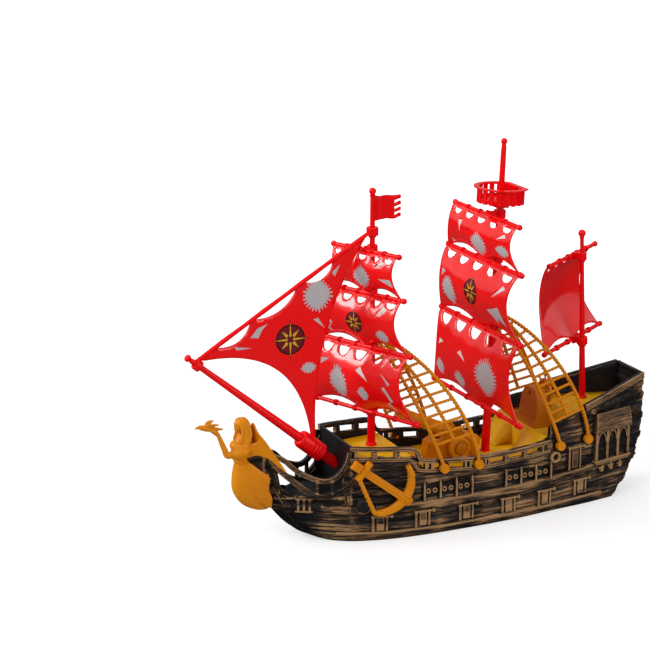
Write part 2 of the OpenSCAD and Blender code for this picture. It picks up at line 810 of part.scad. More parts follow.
// Crow's nest: a round basket with a flat after side, on a square block
nest_d = 33;
nest_flat = 12.2;
nest_h = 11;
nest_wall = 1.4;
nest_block = 8;
nest_block_h = 2.5;
nest_slots = 16;
nest_slot_h = 5;
module nest_outline(d, flat) {
    intersection() {
        circle(d = d);
        translate([-d, -d])
            square([d + flat, 2 * d]);
    }
}
module crows_nest() {
    body_d = nest_d - 5;
    flat = nest_flat - 2.5;
    color(red)
        on_main()
            translate([0, 0, main_h])
                difference() {
                    union() {
                        translate([-nest_block / 2, -nest_block / 2, 0])
                            cube([nest_block, nest_block, nest_block_h + 0.1]);
                        translate([0, 0, nest_block_h])
                            linear_extrude(nest_h - 1.4) nest_outline(body_d, flat);
                        translate([0, 0, nest_block_h + nest_h - 1.5])
                            linear_extrude(1.5) nest_outline(nest_d, nest_flat);
                    }
                    translate([0, 0, nest_block_h + nest_wall])
                        linear_extrude(nest_h) nest_outline(body_d - 2 * nest_wall, flat - nest_wall);
                    for (k = [0:nest_slots - 1])
                        rotate([0, 0, 360 * (k + 0.5) / nest_slots])
                            translate([body_d / 2 - 6, -1.4, nest_block_h + 2.6])
                                cube([10, 2.8, nest_slot_h]);
                    translate([0, 0, -1])
                        cylinder(h = 10, d = pole_d + 2 * plug_gap);
                }
}

// Bowsprit and jib

sprit_tip_d = 3.2;
collar_from = 19;
hook_back = 11;
sprit_seat = 1.6;
module along_sprit() {
    translate(sprit_heel)
        rotate([0, acos(sprit_dir[2]), 180]) children();
}
module bowsprit() {
    r = sprit_d / 2;
    tip = sprit_tip_d / 2;
    color(red)
        difference() {
            along_sprit()
                translate([0, 0, sprit_seat])
                    rotate_extrude()
                        polygon(concat(
                            [[0, 0], [r, 0], [r, collar_from]],
                            // Four ribs of the grip and its flange
                            [for (k = [0:3])
                                let (z = collar_from + 2.2 * k)
                                    each [[r + 1.8, z], [r + 2.6, z + 0.6],
                                        [r + 2.6, z + 1.4], [r + 1.8, z + 2]]],
                            [[r + 3.4, collar_from + 9], [r + 3.4, collar_from + 14],
                                [r + 1, collar_from + 16], [r - 0.8, collar_from + 16.4]],
                            // Neck and knob at the tip
                            [[tip, sprit_length - 6], [tip - 0.5, sprit_length - 4.5],
                                [tip + 0.4, sprit_length - 3.2], [tip + 0.3, sprit_length - 1.8],
                                [0, sprit_length - 1.4]]));
            // Slot for the tack of the jib
            translate([jib_tack[0] - 4, -jib_t / 2 - plug_gap, jib_tack[2] - tack_h - plug_gap])
                cube([4 + 1.4 + plug_gap, jib_t + 2 * plug_gap, 20]);
        }
}

// Jib: a flat plate with a stay, scalloped along the stay, with hollow foot and leech
stay_low = sprit_tip + [7, 0, -3];
stay_top = [fore_x - 1, 0, jib_ring_z];
jib_tack = [-94, 0, 61];
tack_h = 5;
function arc3(p, q, sag, steps) = let (d = unit([p[1] - q[1], q[0] - p[0]]))
    [for (k = [0:steps]) let (t = k / steps) mix(p, q, t) + d * sag * 4 * t * (1 - t)];
module jib() {
    flat_low = [stay_low[0], stay_low[2]];
    flat_top = [stay_top[0] - 2, stay_top[2] - 1];
    tack = [jib_tack[0], jib_tack[2]];
    along = unit(flat_top - flat_low);
    reach = norm(flat_top - flat_low);
    ring_at = jib_ring_z - fore_foot_z;
    color(red)
        difference() {
            union() {
                side_plate(-jib_t / 2, jib_t / 2)
                    polygon(concat(
                        arc3(flat_low, flat_top, 0, 1),
                        arc3(flat_top, tack + [1.4, 0], -leech_hollow, 10),
                        [tack + [1.4, -tack_h], tack + [-1.4, -tack_h]],
                        arc3(tack + [-1.4, 0], flat_low + [5, -0.5], -foot_hollow, 12)));
                rod(stay_low, stay_top, stay_d, stay_d);
                translate([fore_x, 0, jib_ring_z - clip_h / 2])
                    cylinder(h = clip_h, d = mast_at(fore_d, fore_h, ring_at) + 2 * clip_wall + 1);
                along_sprit()
                    translate([0, 0, sprit_length - hook_back])
                        cylinder(h = 4, d = sprit_tip_d + 3.6);
            }
            // Scallops between the stay and the sail
            for (g = [[0.11, 0.19], [0.33, 0.22], [0.55, 0.17]])
                let (mid = flat_low + along * reach * (g[0] + g[1] / 2))
                    translate([mid[0], 0, mid[1]])
                        rotate([0, -atan2(along[1], along[0]), 0])
                            side_plate(-5, 5)
                                let (half = reach * g[1] / 2)
                                    polygon(arc3([-half, -stay_d / 2], [half, -stay_d / 2], -4.5, 8));
            // Ring on the foremast and eye on the bowsprit
            translate([fore_x, 0, jib_ring_z - clip_h])
                cylinder(h = 2 * clip_h, d = mast_at(fore_d, fore_h, ring_at - clip_h / 2) + 2 * plug_gap);
            along_sprit()
                translate([0, 0, sprit_length - hook_back - 4])
                    cylinder(h = 12, d = sprit_tip_d + 0.8);
        }
}

// Yards and sails

knob_d = 3.4;

// Turns a piece about a mast; heights are above the mast's foot
module braced(angle) {
    rotate([0, 0, angle]) children();
}

// Yard with a knob at each end and a ring that clips round the mast
module yard(half, reach, bore_d) {
    difference() {
        union() {
            translate([-reach, 0, 0])
                rotate([90, 0, 0])
                    cylinder(h = 2 * half, d = yard_d, center = true);
            for (s = [-1, 1])
                translate([-reach, s * half, 0])
                    sphere(d = knob_d);
            translate([-reach, -1.6, -clip_h / 2 + 0.6])
                cube([reach, 3.2, clip_h - 1.2]);
            cylinder(h = clip_h, d = bore_d + 2 * clip_wall, center = true);
        }
        cylinder(h = clip_h + 2, d = bore_d, center = true);
    }
}

sail_rows = 7;
sail_columns = 12;
sail_side = 0.13;
// Places of the holes as a share of the yard, their half width as a share of that, and the band above them
hole_pitch = 0.38;
hole_share = 0.31;
head_band = 0.9;
function sail_point(s, t, half, h, reach, belly) =
    let (
        w = mix(half[0], half[1], t) - 2 - sail_side * h * sin(180 * t),
        hollow = foot_arch * sin(180 * abs(s)) * pow(t, 4),
        out = belly * pow(sin(180 * pow(t, 0.85)), 0.9) * (1 - 0.3 * s * s))
    [-reach - out, s * w, -h * t + hollow];

// Sheet from one yard to the next, bellied forward, with half-round holes under its upper yard
module sail(z, half, reach, belly, hole) {
    h = z[0] - z[1];
    pitch = half[0] * hole_pitch;
    side = [for (f = [0.5, -0.5]) [for (i = [0:sail_rows]) [for (j = [0:sail_columns])
        sail_point(2 * j / sail_columns - 1, i / sail_rows, half, h, reach, belly) + [f * sail_t, 0, 0]]]];
    translate([0, 0, z[0]])
        difference() {
            solid_between(side[0], side[1]);
            for (k = [-2:2])
                translate([0, k * pitch, -yard_d / 2 - head_band])
                    rotate([90, 0, -90])
                        linear_extrude(reach + belly + 5)
                            polygon([for (a = [180:30:360]) [pitch * hole_share * cos(a), hole * sin(a)]]);
        }
}

module fore_yard(k) {
    color(red)
        on_fore()
            braced(fore_brace)
                translate([0, 0, fore_yard_z[k] - fore_foot_z])
                    yard(fore_yard_half[k], fore_reach,
                        mast_at(fore_d, fore_h, fore_yard_z[k] - fore_foot_z - clip_h / 2) + 2 * clip_gap);
}
module fore_sail(k) {
    color(red)
        on_fore()
            braced(fore_brace)
                sail([fore_yard_z[k], fore_yard_z[k + 1]] - [fore_foot_z, fore_foot_z],
                    [fore_yard_half[k], fore_yard_half[k + 1]], fore_reach, fore_belly[k], fore_hole[k]);
}
module main_yard(k) {
    color(red)
        on_main()
            braced(main_brace)
                translate([0, 0, main_yard_z[k] - waist_deck_z])
                    yard(main_yard_half[k], main_reach,
                        mast_at(main_d, main_h * 2, main_yard_z[k] - waist_deck_z - clip_h / 2)
                            + 2 * clip_gap);
}
module main_sail(k) {
    color(red)
        on_main()
            braced(main_brace)
                sail([main_yard_z[k], main_yard_z[k + 1]] - [waist_deck_z, waist_deck_z],
                    [main_yard_half[k], main_yard_half[k + 1]], main_reach, main_belly[k], main_hole[k]);
}
module mizzen_yard(k) {
    color(red)
        on_mizzen()
            braced(mizzen_brace)
                translate([0, 0, mizzen_yard_z[k] - mizzen_foot_z])
                    yard(mizzen_yard_half[k], mizzen_reach,
                        mast_at(mizzen_d, mizzen_h, mizzen_yard_z[k] - mizzen_foot_z - clip_h / 2)
                            + 2 * clip_gap);
}
module mizzen_sail() {
    color(red)
        on_mizzen()
            braced(mizzen_brace)
                sail(mizzen_yard_z - [mizzen_foot_z, mizzen_foot_z], mizzen_yard_half, mizzen_reach,
                    mizzen_belly, mizzen_hole);
}

// Nets

net_bow = [1.02, 1.22, 1.45];
net_steps = 8;
first_rung = 0.045;
last_rung = 0.775;
// How much higher each rung ends at the after rope, as a share of the drop
rung_tilt = 0.06;
// Share of the drop at which a rope hangs fully outside the rail
rope_clear = 0.87;
net_eye_y = 4.6;
net_stand = 2.9;
net_sides = 6;

// Point of one rope at a share of its drop; it leaves the mast level and hangs steep outside the rail
function rope_point(top, foot, bow, t) =
    let (
        s = pow(1 - pow(1 - t, bow), 1 / bow),
        out = s + (1 - s) * min(1, t / rope_clear))
    [mix(top[0], foot[0], s), mix(top[1], foot[1], out), mix(top[2], foot[2], t)];

// Net from an eye on the mast to two feet on the port side
module net(top, feet) {
    spread = [feet[0], (feet[0] + feet[1]) / 2, feet[1]];
    ends = [for (f = spread) [f[0], -hull_y(f[0], f[1]) - net_stand, f[1]]];
    stop = [1, last_rung, 1];
    difference() {
        union() {
            for (k = [0:2])
                let (across = unit(cross(ends[k] - top, [0, 0, 1])))
                    tube([for (i = [0:net_steps])
                            rope_point(top, ends[k], net_bow[k], stop[k] * pow(i / net_steps, 1.5))],
                        net_rope_d / 2, net_rope_d / 2, net_sides, across);
            for (r = [1:net_rungs])
                let (t = mix(first_rung, last_rung, (r - 0.5) / (net_rungs - 0.5)))
                    tube([for (k = [0:2]) rope_point(top, ends[k], net_bow[k], t + rung_tilt * (1 - k) / 2)],
                        net_rung_d / 2, net_rung_d / 2, net_sides, [0, 0, 1]);
            for (k = [0, 2])
                translate(ends[k]) {
                    rotate([90, 0, 0])
                        cylinder(h = 3.2, d = net_foot_d, center = true, $fn = 20);
                    rotate([-90, 0, 0])
                        cylinder(h = net_stand + 3, d = net_pin_d, $fn = 16);
                }
            translate(top)
                rotate([90, 0, 0])
                    cylinder(h = 2.4, d = net_lug_d + 3.2, center = true, $fn = 20);
        }
        // Eye that hooks over the lug on the mast
        translate(top)
            rotate([90, 0, 0])
                cylinder(h = 8, d = net_lug_d + 2 * plug_gap, center = true, $fn = 20);
    }
}

function main_at(h) = [main_x + (h - waist_deck_z) * tan(main_rake), h];
module fore_net_port() {
    color(tan) net([fore_x, -net_eye_y, fore_net_z], net_feet_fore);
}
module fore_net_starboard() {
    color(tan)
        mirror([0, 1, 0]) net([fore_x, -net_eye_y, fore_net_z], net_feet_fore);
}
module main_net_port() {
    color(tan) net([main_at(main_net_z)[0], -net_eye_y, main_net_z], net_feet_main);
}
module main_net_starboard() {
    color(tan)
        mirror([0, 1, 0]) net([main_at(main_net_z)[0], -net_eye_y, main_net_z], net_feet_main);
}

// Anchor

anchor_from = -22;
anchor_to = 20;
anchor_t = 3;
shank_w = 4.6;
eye_w = 5.6;
stock_at = -16.5;
stock_w = 3.4;
stock_l = 13.5;
arm_r = 19.7;
arm_angle = 71;
arm_tip_w = 2.8;
arm_swell = 2.6;
anchor_rope_d = 2.2;
module anchor() {
    on_hull(anchor_x, anchor_z)
        rotate([-anchor_roll, anchor_turn, 0])
            translate([0, -anchor_stand, 0]) {
                translate([anchor_from, -anchor_t, -shank_w / 2])
                    cube([anchor_to - anchor_from, anchor_t, shank_w]);
                translate([anchor_from - eye_w / 2, -anchor_t - 0.6, -eye_w / 2])
                    cube([eye_w, anchor_t + 0.6, eye_w]);
                translate([stock_at - stock_w / 2, -anchor_t - 1, -stock_l / 2])
                    cube([stock_w, anchor_t + 1, stock_l]);
                // Crescent arms, widest at the shank
                translate([anchor_to - 2.4 - arm_r, 0, 0])
                    rotate([90, 0, 0])
                        linear_extrude(anchor_t)
                            polygon(concat(
                                [for (k = [-8:8]) let (a = arm_angle * k / 8) arm_r * [cos(a), sin(a)]],
                                [for (k = [8:-1:-8])
                                    let (a = arm_angle * k / 8, w = arm_tip_w + arm_swell * cos(90 * k / 8))
                                        (arm_r - w) * [cos(a), sin(a)]]));
                // Rope from the stock to the lower arm
                rod([stock_at + 0.6, -anchor_t - 0.2, -stock_l / 2 + 0.9], [3.8, -anchor_t - 0.2, -17.2],
                    anchor_rope_d, anchor_rope_d);
                for (p = anchor_pins)
                    translate([p[0], -0.5, p[1]])
                        rotate([-90, 0, 0])
                            cylinder(h = anchor_stand + 4, d = net_pin_d);
            }
}
module anchor_port() {
    color(tan) anchor();
}
module anchor_starboard() {
    color(tan)
        mirror([0, 1, 0]) anchor();
}

// Figurehead: a winged woman who holds out a bird, with a fish tail down the stem

figure_sides = 8;
module limb(p, q, a, b) {
    hull() {
        translate(p) sphere(d = a, $fn = figure_sides);
        translate(q) sphere(d = b, $fn = figure_sides);
    }
}
figure_chain = [
    [[-138, 0, 66], 9], [[-141, 0, 58], 9.5], [[-140, 0, 50], 8.5], [[-140, 0, 43], 11],
    [[-139, 0, 35], 13], [[-135, 0, 28], 12], [[-128, 0, 22], 7]];
module figurehead() {
    color(tan)
        difference() {
            union() {
                for (k = [0:len(figure_chain) - 2])
                    limb(figure_chain[k][0], figure_chain[k + 1][0],
                        figure_chain[k][1], figure_chain[k + 1][1]);
                // Head and hair
                limb([-140, 0, 73.5], [-141, 0, 71.5], 8, 6.5);
                limb([-137, 0, 74], [-133.5, 0, 62], 8.5, 8);
                // Arm that holds out the bird
                limb([-139, -3.5, 63], [-150, -3, 57], 5, 4);
                limb([-150, -3, 57], [-154.5, -1.5, 70], 4, 3);
                limb([-154.5, -1.5, 71], [-160.5, -1, 74], 4, 3.4);
                limb([-160.5, -1, 74], [-168.5, -1, 75.2], 3.4, 1.6);
                limb([-158.5, -4.5, 76.6], [-159.5, 0, 74.5], 1.8, 2.2);
                limb([-157.5, 2.5, 76.6], [-159.5, 0, 74.5], 1.8, 2.2);
                limb([-139, 3.5, 64], [-143, 4.5, 56], 5, 4);
                limb([-143, 4.5, 56], [-146, 0, 62], 4, 3);
                // Wings along the head rails
                for (s = [-1, 1])
                    hull() {
                        translate([-135, s * 4, 59]) sphere(d = 5, $fn = figure_sides);
                        translate([-131, s * 6.5, 66.5]) sphere(d = 3, $fn = figure_sides);
                        translate([-127, s * 8.5, 53.5]) sphere(d = 3, $fn = figure_sides);
                        translate([-117, s * 12, 45]) sphere(d = 2.4, $fn = figure_sides);
                    }
                // Tail fins that wrap round the stem
                for (s = [-1, 1])
                    hull() {
                        translate([-139, s * 3, 42]) sphere(d = 5, $fn = figure_sides);
                        translate([-124, s * 6.6, 40]) sphere(d = 2, $fn = figure_sides);
                        translate([-122.5, s * 6.6, 24]) sphere(d = 2, $fn = figure_sides);
                        translate([-134, s * 3, 26]) sphere(d = 5, $fn = figure_sides);
                    }
                // Saddle against the stem
                translate([-134, -3.4, 22])
                    cube([10.5, 6.8, 20]);
            }
            // Slot that fits round the stem
            for (s = [0, 1])
                mirror([0, s, 0]) hull_solid(-figure_gap, 0, 1);
        }
    color(tan)
        for (z = figure_pin_z)
            translate([figure_pin_x, 0, z])
                rotate([0, 90, 0])
                    cylinder(h = 9, d = figure_pin_d);
}
figure_pin_x = -131;
figure_gap = 0.3;

// Cannon

cannon_x = -4;
cheek_in = 4.9;
cheek_t = 2.2;
cheek_out = cheek_in + cheek_t;
trunnion_d = 3.4;
wheel_x = -1.3;
wheel_z = 43.1;
wheel_hub_d = 6.2;
wheel_w = 4.2;
wheel_gap = 0.35;
wheel_slit = 0.9;
carriage_pin_d = 2.4;
carriage_pins = [[-16, 0], [2, 0]];
carriage_bed = 1.6;
carriage_nose = 2.6;
// Outline from the side, and from above to one side
carriage_side = [
    [-21.8, waist_deck_z], [-19.6, trunnion_z - 3.8], [-14, trunnion_z - 3], [-9, trunnion_z + 3.2],
    [1.5, trunnion_z + 3.2], [5, trunnion_z - 2], [9.5, trunnion_z - 5.5], [12.5, trunnion_z - 11],
    [14, waist_deck_z]];
carriage_plan = [[-22, carriage_nose], [-13.5, cheek_out], [15, cheek_out]];
module cannon_carriage() {
    color(tan)
        difference() {
            union() {
                intersection() {
                    side_plate(-cheek_out, cheek_out)
                        polygon(carriage_side);
                    translate([0, 0, waist_deck_z])
                        linear_extrude(40)
                            polygon(concat(carriage_plan,
                                [for (k = [2:-1:0]) [carriage_plan[k][0], -carriage_plan[k][1]]]));
                }
                for (s = [-1, 1])
                    translate([wheel_x, s * (cheek_out - 0.5), wheel_z])
                        rotate([-s * 90, 0, 0]) {
                            cylinder(h = wheel_w + 1.2, d = wheel_hub_d);
                            translate([0, 0, wheel_w + 1.2])
                                cylinder(h = 0.8, d = wheel_hub_d + 0.8);
                        }
                for (p = carriage_pins)
                    translate([p[0], p[1], waist_deck_z - deck_t])
                        cylinder(h = deck_t + 1, d = carriage_pin_d);
            }
            // Room for the barrel between the cheeks
            translate([-13.5, -cheek_in, waist_deck_z + carriage_bed])
                cube([40, 2 * cheek_in, 40]);
            translate([cannon_x, 0, trunnion_z])
                rotate([90, 0, 0])
                    cylinder(h = 50, d = trunnion_d + 2 * clip_gap, center = true);
        }
}

barrel_back = 22.4;
barrel_front = 38;
module cannon_barrel() {
    r = barrel_d / 2;
    color(tan)
        translate([cannon_x, 0, trunnion_z]) {
            rotate([90, 0, 0])
                cylinder(h = 2 * cheek_out - 0.4, d = trunnion_d, center = true);
            rotate([0, barrel_lift - 90, 0])
                difference() {
                    rotate_extrude()
                        polygon(concat(
                            // Rounded breech
                            [[0, -barrel_back], [2.6, -barrel_back], [r - 0.9, -barrel_back + 0.8],
                                [r - 0.2, -barrel_back + 2]],
                            // Three grooves
                            [for (k = [0:2])
                                let (z = -barrel_back + 2.6 + 2.8 * k)
                                    each [[r, z], [r - 0.6, z + 0.4], [r - 0.6, z + 1.4], [r, z + 1.8]]],
                            // Slight taper to the muzzle
                            [[r - 0.3, -6], [r - 0.3, 3], [r - 0.6, 5], [r - 0.6, 6.5], [r - 0.2, 7],
                                [r - 0.2, 8.5], [r - 0.5, 9], [r - 0.8, barrel_front - 6],
                                [r - 0.3, barrel_front - 5.4], [r - 0.3, barrel_front - 4.2],
                                [r - 0.8, barrel_front - 3.6], [r - 0.1, barrel_front - 0.8],
                                [r - 0.4, barrel_front], [0, barrel_front]]));
                    translate([0, 0, barrel_front - 16])
                        cylinder(h = 20, d = barrel_d * 0.42);
                }
        }
}

// Wheel that snaps over the end of the axle through a slit in its rim
module cannon_wheel() {
    translate([wheel_x, -cheek_out - wheel_gap, wheel_z])
        rotate([90, 0, 0])
            difference() {
                cylinder(h = wheel_w, d = gun_wheel_d);
                translate([0, 0, -1])
                    cylinder(h = wheel_w + 2, d = wheel_hub_d + 2 * clip_gap);
                translate([-wheel_slit / 2, -gun_wheel_d, -1])
                    cube([wheel_slit, gun_wheel_d, wheel_w + 2]);
                translate([0, 0, wheel_w - 0.8])
                    cylinder(h = 2, d = wheel_hub_d + 2.4);
            }
}
module cannon_wheel_port() {
    color(tan) cannon_wheel();
}
module cannon_wheel_starboard() {
    color(tan)
        mirror([0, 1, 0]) cannon_wheel();
}

// Helm

pedestal_x = 55.8;
pedestal_d = 10.6;
pedestal_top_w = 18;
pedestal_top_d = 7.4;
plinth_out = 2;
plinth_h = 1.6;
shoulder_r = 2.5;
helm_z = 68.5;
helm_shaft_d = 3;
helm_spokes = 8;
pedestal_pins = [[pedestal_x, -8], [pedestal_x, 8]];
module helm_pedestal() {
    color(tan)
        difference() {
            union() {
                for (k = [0:1])
                    let (out = 2 * plinth_out - 2 * k, h = (k + 1) * plinth_h)
                        translate([pedestal_x, 0, helm_deck_z + h / 2])
                            cube([pedestal_d + out, pedestal_w + out, h], center = true);
                hull() {
                    translate([pedestal_x - pedestal_d / 2, -pedestal_w / 2, helm_deck_z + plinth_h])
                        cube([pedestal_d, pedestal_w, 1]);
                    for (s = [-1, 1])
                        translate([pedestal_x, s * (pedestal_top_w / 2 - shoulder_r),
                                helm_deck_z + pedestal_h - shoulder_r])
                            rotate([0, 90, 0])
                                cylinder(h = pedestal_top_d, r = shoulder_r, center = true, $fn = 24);
                }
                for (p = pedestal_pins)
                    translate([p[0], p[1], helm_deck_z - deck_t])
                        cylinder(h = deck_t + 1, d = carriage_pin_d);
            }
            translate([pedestal_x, 0, helm_z])
                rotate([0, 90, 0])
                    cylinder(h = 60, d = helm_shaft_d + 2 * clip_gap, center = true);
        }
}

helm_x = 61.4;
module helm_wheel() {
    color(tan)
        translate([helm_x, 0, helm_z])
            rotate([0, 90, 0]) {
                translate([0, 0, -helm_x + pedestal_x - pedestal_d / 2 + 2])
                    cylinder(h = helm_x - pedestal_x + pedestal_d / 2, d = helm_shaft_d);
                cylinder(h = 3, d = 5.4);
                translate([0, 0, 1.5])
                    rotate_extrude()
                        translate([helm_d / 2 - 1.2, 0])
                            circle(d = 2.4);
                for (k = [0:helm_spokes - 1])
                    rotate([0, 0, 360 * k / helm_spokes])
                        translate([0, 0, 1.5])
                            rotate([90, 0, 0]) {
                                cylinder(h = helm_d / 2 + 2.2, d = 1.4);
                                translate([0, 0, helm_d / 2 + 2.4])
                                    sphere(d = 2);
                            }
            }
}

// Sound unit

button_travel = 1.4;
button_flange = 1.6;
switch_w = 6;
switch_t = 3.4;
button_stem_d = 3;
module sound_button() {
    color("#151515")
        on_hull(button_x, button_z)
            rotate([90, 0, 0]) {
                translate([0, 0, -hull_wall - 1])
                    cylinder(h = hull_wall + 1 + button_proud, d = button_d);
                translate([0, 0, -hull_wall - 1 - button_flange])
                    cylinder(h = button_flange + 0.2, d = button_d + 2.2);
                translate([0, 0, -board_back + switch_t - 1])
                    cylinder(h = board_back - switch_t - hull_wall - 0.5, d = button_stem_d);
            }
}
module sound_board() {
    color("darkgreen")
        on_hull(button_x, button_z)
            difference() {
                union() {
                    translate([board_shift - board_w / 2, board_back, -board_h / 2])
                        cube([board_w, board_t, board_h]);
                    translate([-switch_w / 2, board_back - switch_t, -switch_w / 2])
                        cube([switch_w, switch_t + 0.1, switch_w]);
                }
                translate([0, board_back - 0.4, 0])
                    rotate([90, 0, 0])
                        cylinder(h = switch_t + 1, d = button_stem_d + 0.4);
            }
}

speaker_h = 7;
module speaker() {
    color("dimgray")
        translate([speaker_x, 0, hull_floor]) {
            difference() {
                cylinder(h = 3, d = speaker_d);
                translate([0, 0, -1])
                    cylinder(h = 2.6, d1 = speaker_d - 3, d2 = speaker_d - 12);
            }
            translate([0, 0, 2.9])
                cylinder(h = speaker_h - 2.9, d = speaker_d * 0.55);
        }
}

cell_d = 11.6;
cell_h = 5.4;
cell_count = 3;
box_wall = 1.4;
box_flange = 3;
door_screw_x = 14.2;
cell_room = 0.3;
box_l = cell_count * cell_h + 2 * cell_room + 2 * box_wall;
box_h = cell_d + 2 * cell_room + box_wall;
module battery_box() {
    color("#2a2a2a")
        difference() {
            union() {
                translate([0, 0, hull_floor + 0.75])
                    cube([door_l + 2 * box_flange, door_w + 2 * box_flange, 1.5], center = true);
                translate([-box_l / 2 - 4, -cell_d / 2 - cell_room - box_wall, hull_floor])
                    cube([box_l, cell_d + 2 * cell_room + 2 * box_wall, box_h]);
                translate([door_screw_x, 0, hull_floor])
                    cylinder(h = 8, d = 5);
            }
            translate([-box_l / 2 - 4 + box_wall, -cell_d / 2 - cell_room, -1])
                cube([box_l - 2 * box_wall, cell_d + 2 * cell_room, hull_floor + 1 + cell_d + 2 * cell_room]);
            translate([door_screw_x, 0, -1])
                cylinder(h = 9, d = 2);
        }
}
module button_cells() {
    color(steel)
        for (k = [0:cell_count - 1])
            translate([-box_l / 2 - 4 + box_wall + cell_room + k * cell_h, 0,
                    hull_floor + cell_room + cell_d / 2])
                rotate([0, 90, 0]) {
                    cylinder(h = cell_h - 0.5, d = cell_d);
                    cylinder(h = cell_h - 0.05, d = cell_d - 2.4);
                }
}
module battery_door() {
    color(black)
        difference() {
            translate([-door_l / 2, -door_w / 2, 0])
                cube([door_l, door_w, hull_floor]);
            translate([door_screw_x, 0, -1])
                cylinder(h = 10, d = 2.2);
            translate([door_screw_x, 0, -0.01])
                cylinder(h = 1.2, d = 4.2);
        }
}
module battery_door_screw() {
    color(steel)
        translate([door_screw_x, 0, 0.15]) {
            difference() {
                cylinder(h = 1, d = 3.8);
                for (a = [0, 90])
                    rotate([0, 0, a])
                        translate([-1.2, -0.25, -0.1])
                            cube([2.4, 0.5, 0.7]);
            }
            cylinder(h = 7, d = 1.8);
        }
}
module hull_screws() {
    color(steel)
        for (b = hull_bosses)
            translate([b[0], screw_reach + 0.1, b[1]])
                rotate([90, 0, 0]) {
                    translate([0, 0, -1.8])
                        difference() {
                            cylinder(h = 1.8, d = screw_head_d);
                            for (a = [0, 90])
                                rotate([0, 0, a])
                                    translate([-1.5, -0.35, -0.1])
                                        cube([3, 0.7, 1]);
                        }
                    cylinder(h = 2 * screw_reach, d = screw_d);
                }
}

hull_port();
hull_starboard();
fore_deck();
waist_deck();
quarter_deck();
foremast();
mainmast();
mizzenmast();
crows_nest();
bowsprit();
jib();
fore_yard(0);  // fore_yard_1
fore_yard(1);  // fore_yard_2
fore_yard(2);  // fore_yard_3
fore_yard(3);  // fore_yard_4
fore_sail(0);  // fore_sail_1
fore_sail(1);  // fore_sail_2
fore_sail(2);  // fore_sail_3
main_yard(0);  // main_yard_1
main_yard(1);  // main_yard_2
main_yard(2);  // main_yard_3
main_yard(3);  // main_yard_4
main_sail(0);  // main_sail_1
main_sail(1);  // main_sail_2
main_sail(2);  // main_sail_3
mizzen_yard(0);  // mizzen_yard_1
mizzen_yard(1);  // mizzen_yard_2
mizzen_sail();
fore_net_port();
fore_net_starboard();
main_net_port();
main_net_starboard();
anchor_port();
anchor_starboard();
figurehead();
cannon_carriage();
cannon_barrel();
cannon_wheel_port();
cannon_wheel_starboard();
helm_pedestal();
helm_wheel();
sound_button();
sound_board();
speaker();
battery_box();
button_cells();
battery_door();
battery_door_screw();
hull_screws();
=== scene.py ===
import random
from math import acos, atan, copysign, cos, exp, hypot, pi, radians, sin, sqrt, tan, tau
from math import floor as whole

import bmesh
import bpy
import numpy as np
from mathutils import Matrix, Vector, noise
from mathutils.geometry import delaunay_2d_cdt


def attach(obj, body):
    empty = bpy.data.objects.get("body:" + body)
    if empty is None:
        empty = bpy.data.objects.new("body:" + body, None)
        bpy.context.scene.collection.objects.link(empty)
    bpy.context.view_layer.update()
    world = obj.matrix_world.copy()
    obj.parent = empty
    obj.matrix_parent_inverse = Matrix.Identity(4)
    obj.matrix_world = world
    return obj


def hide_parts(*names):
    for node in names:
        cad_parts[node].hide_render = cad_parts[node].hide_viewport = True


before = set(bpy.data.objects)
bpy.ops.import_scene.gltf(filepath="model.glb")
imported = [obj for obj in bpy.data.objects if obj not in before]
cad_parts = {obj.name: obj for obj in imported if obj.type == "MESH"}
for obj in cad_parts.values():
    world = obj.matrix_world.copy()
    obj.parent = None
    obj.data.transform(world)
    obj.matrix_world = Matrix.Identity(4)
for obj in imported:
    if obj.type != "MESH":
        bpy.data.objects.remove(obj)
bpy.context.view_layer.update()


# Studio: a white paper floor that runs into a white background, soft lamps high on the left and on the
# right, one ahead of the ship that shows as a sheen on the sails, and a long lens off the port bow.
CAMERA_AT = (-0.5683, -1.0830, 0.4585)
CAMERA_LOOKS_AT = (-0.0701, 0.0363, 0.1165)
LENS_MM = 116.64
# Place, width and power of each lamp
LAMPS = {
    "key": ((-0.95, -0.55, 0.95), 0.7, 5.0),
    "bow": ((-1.05, 0.46, 0.66), 0.55, 8.0),
    "fill": ((0.55, -1.05, 0.55), 0.9, 4.6),
    "top": ((0.05, 0.15, 1.15), 0.9, 3.0)}
LAMPS_LOOK_AT = (-0.02, 0, 0.1)
FLOOR_HALF, FLOOR_Z = 6.0, -0.0002
SKY_LIGHT = 0.42
GLOW_FROM, GLOW_TO, GLOW_NEAR, GLOW_FAR = 0.2, 0.75, 0.55, 1.0


def linear(code):
    """A colour written as six sRGB hex digits, as linear values."""
    parts = [int(code[i:i + 2], 16) / 255 for i in (0, 2, 4)]
    return [v / 12.92 if v <= 0.04045 else ((v + 0.055) / 1.055) ** 2.4 for v in parts] + [1.0]


def feed(tree, node, inputs):
    """Gives each input of a node its value, a link from an output, or a link from a node's first output."""
    for key, value in inputs.items():
        if isinstance(value, bpy.types.Node):
            value = value.outputs[0]
        if isinstance(value, bpy.types.NodeSocket):
            tree.links.new(value, node.inputs[key])
        else:
            node.inputs[key].default_value = value


def add_node(tree, kind, inputs=None, **settings):
    """Adds a node with its settings and inputs."""
    node = tree.nodes.new(kind)
    for key, value in settings.items():
        setattr(node, key, value)
    feed(tree, node, inputs or {})
    return node


def placed_object(name, data, at=(0, 0, 0), looks_at=None):
    """Object in the scene; a camera or lamp is turned to what it looks at."""
    made = bpy.data.objects.new(name, data)
    bpy.context.collection.objects.link(made)
    if looks_at:
        made.location = at
        made.rotation_euler = (Vector(looks_at) - Vector(at)).to_track_quat("-Z", "Y").to_euler()
    return made


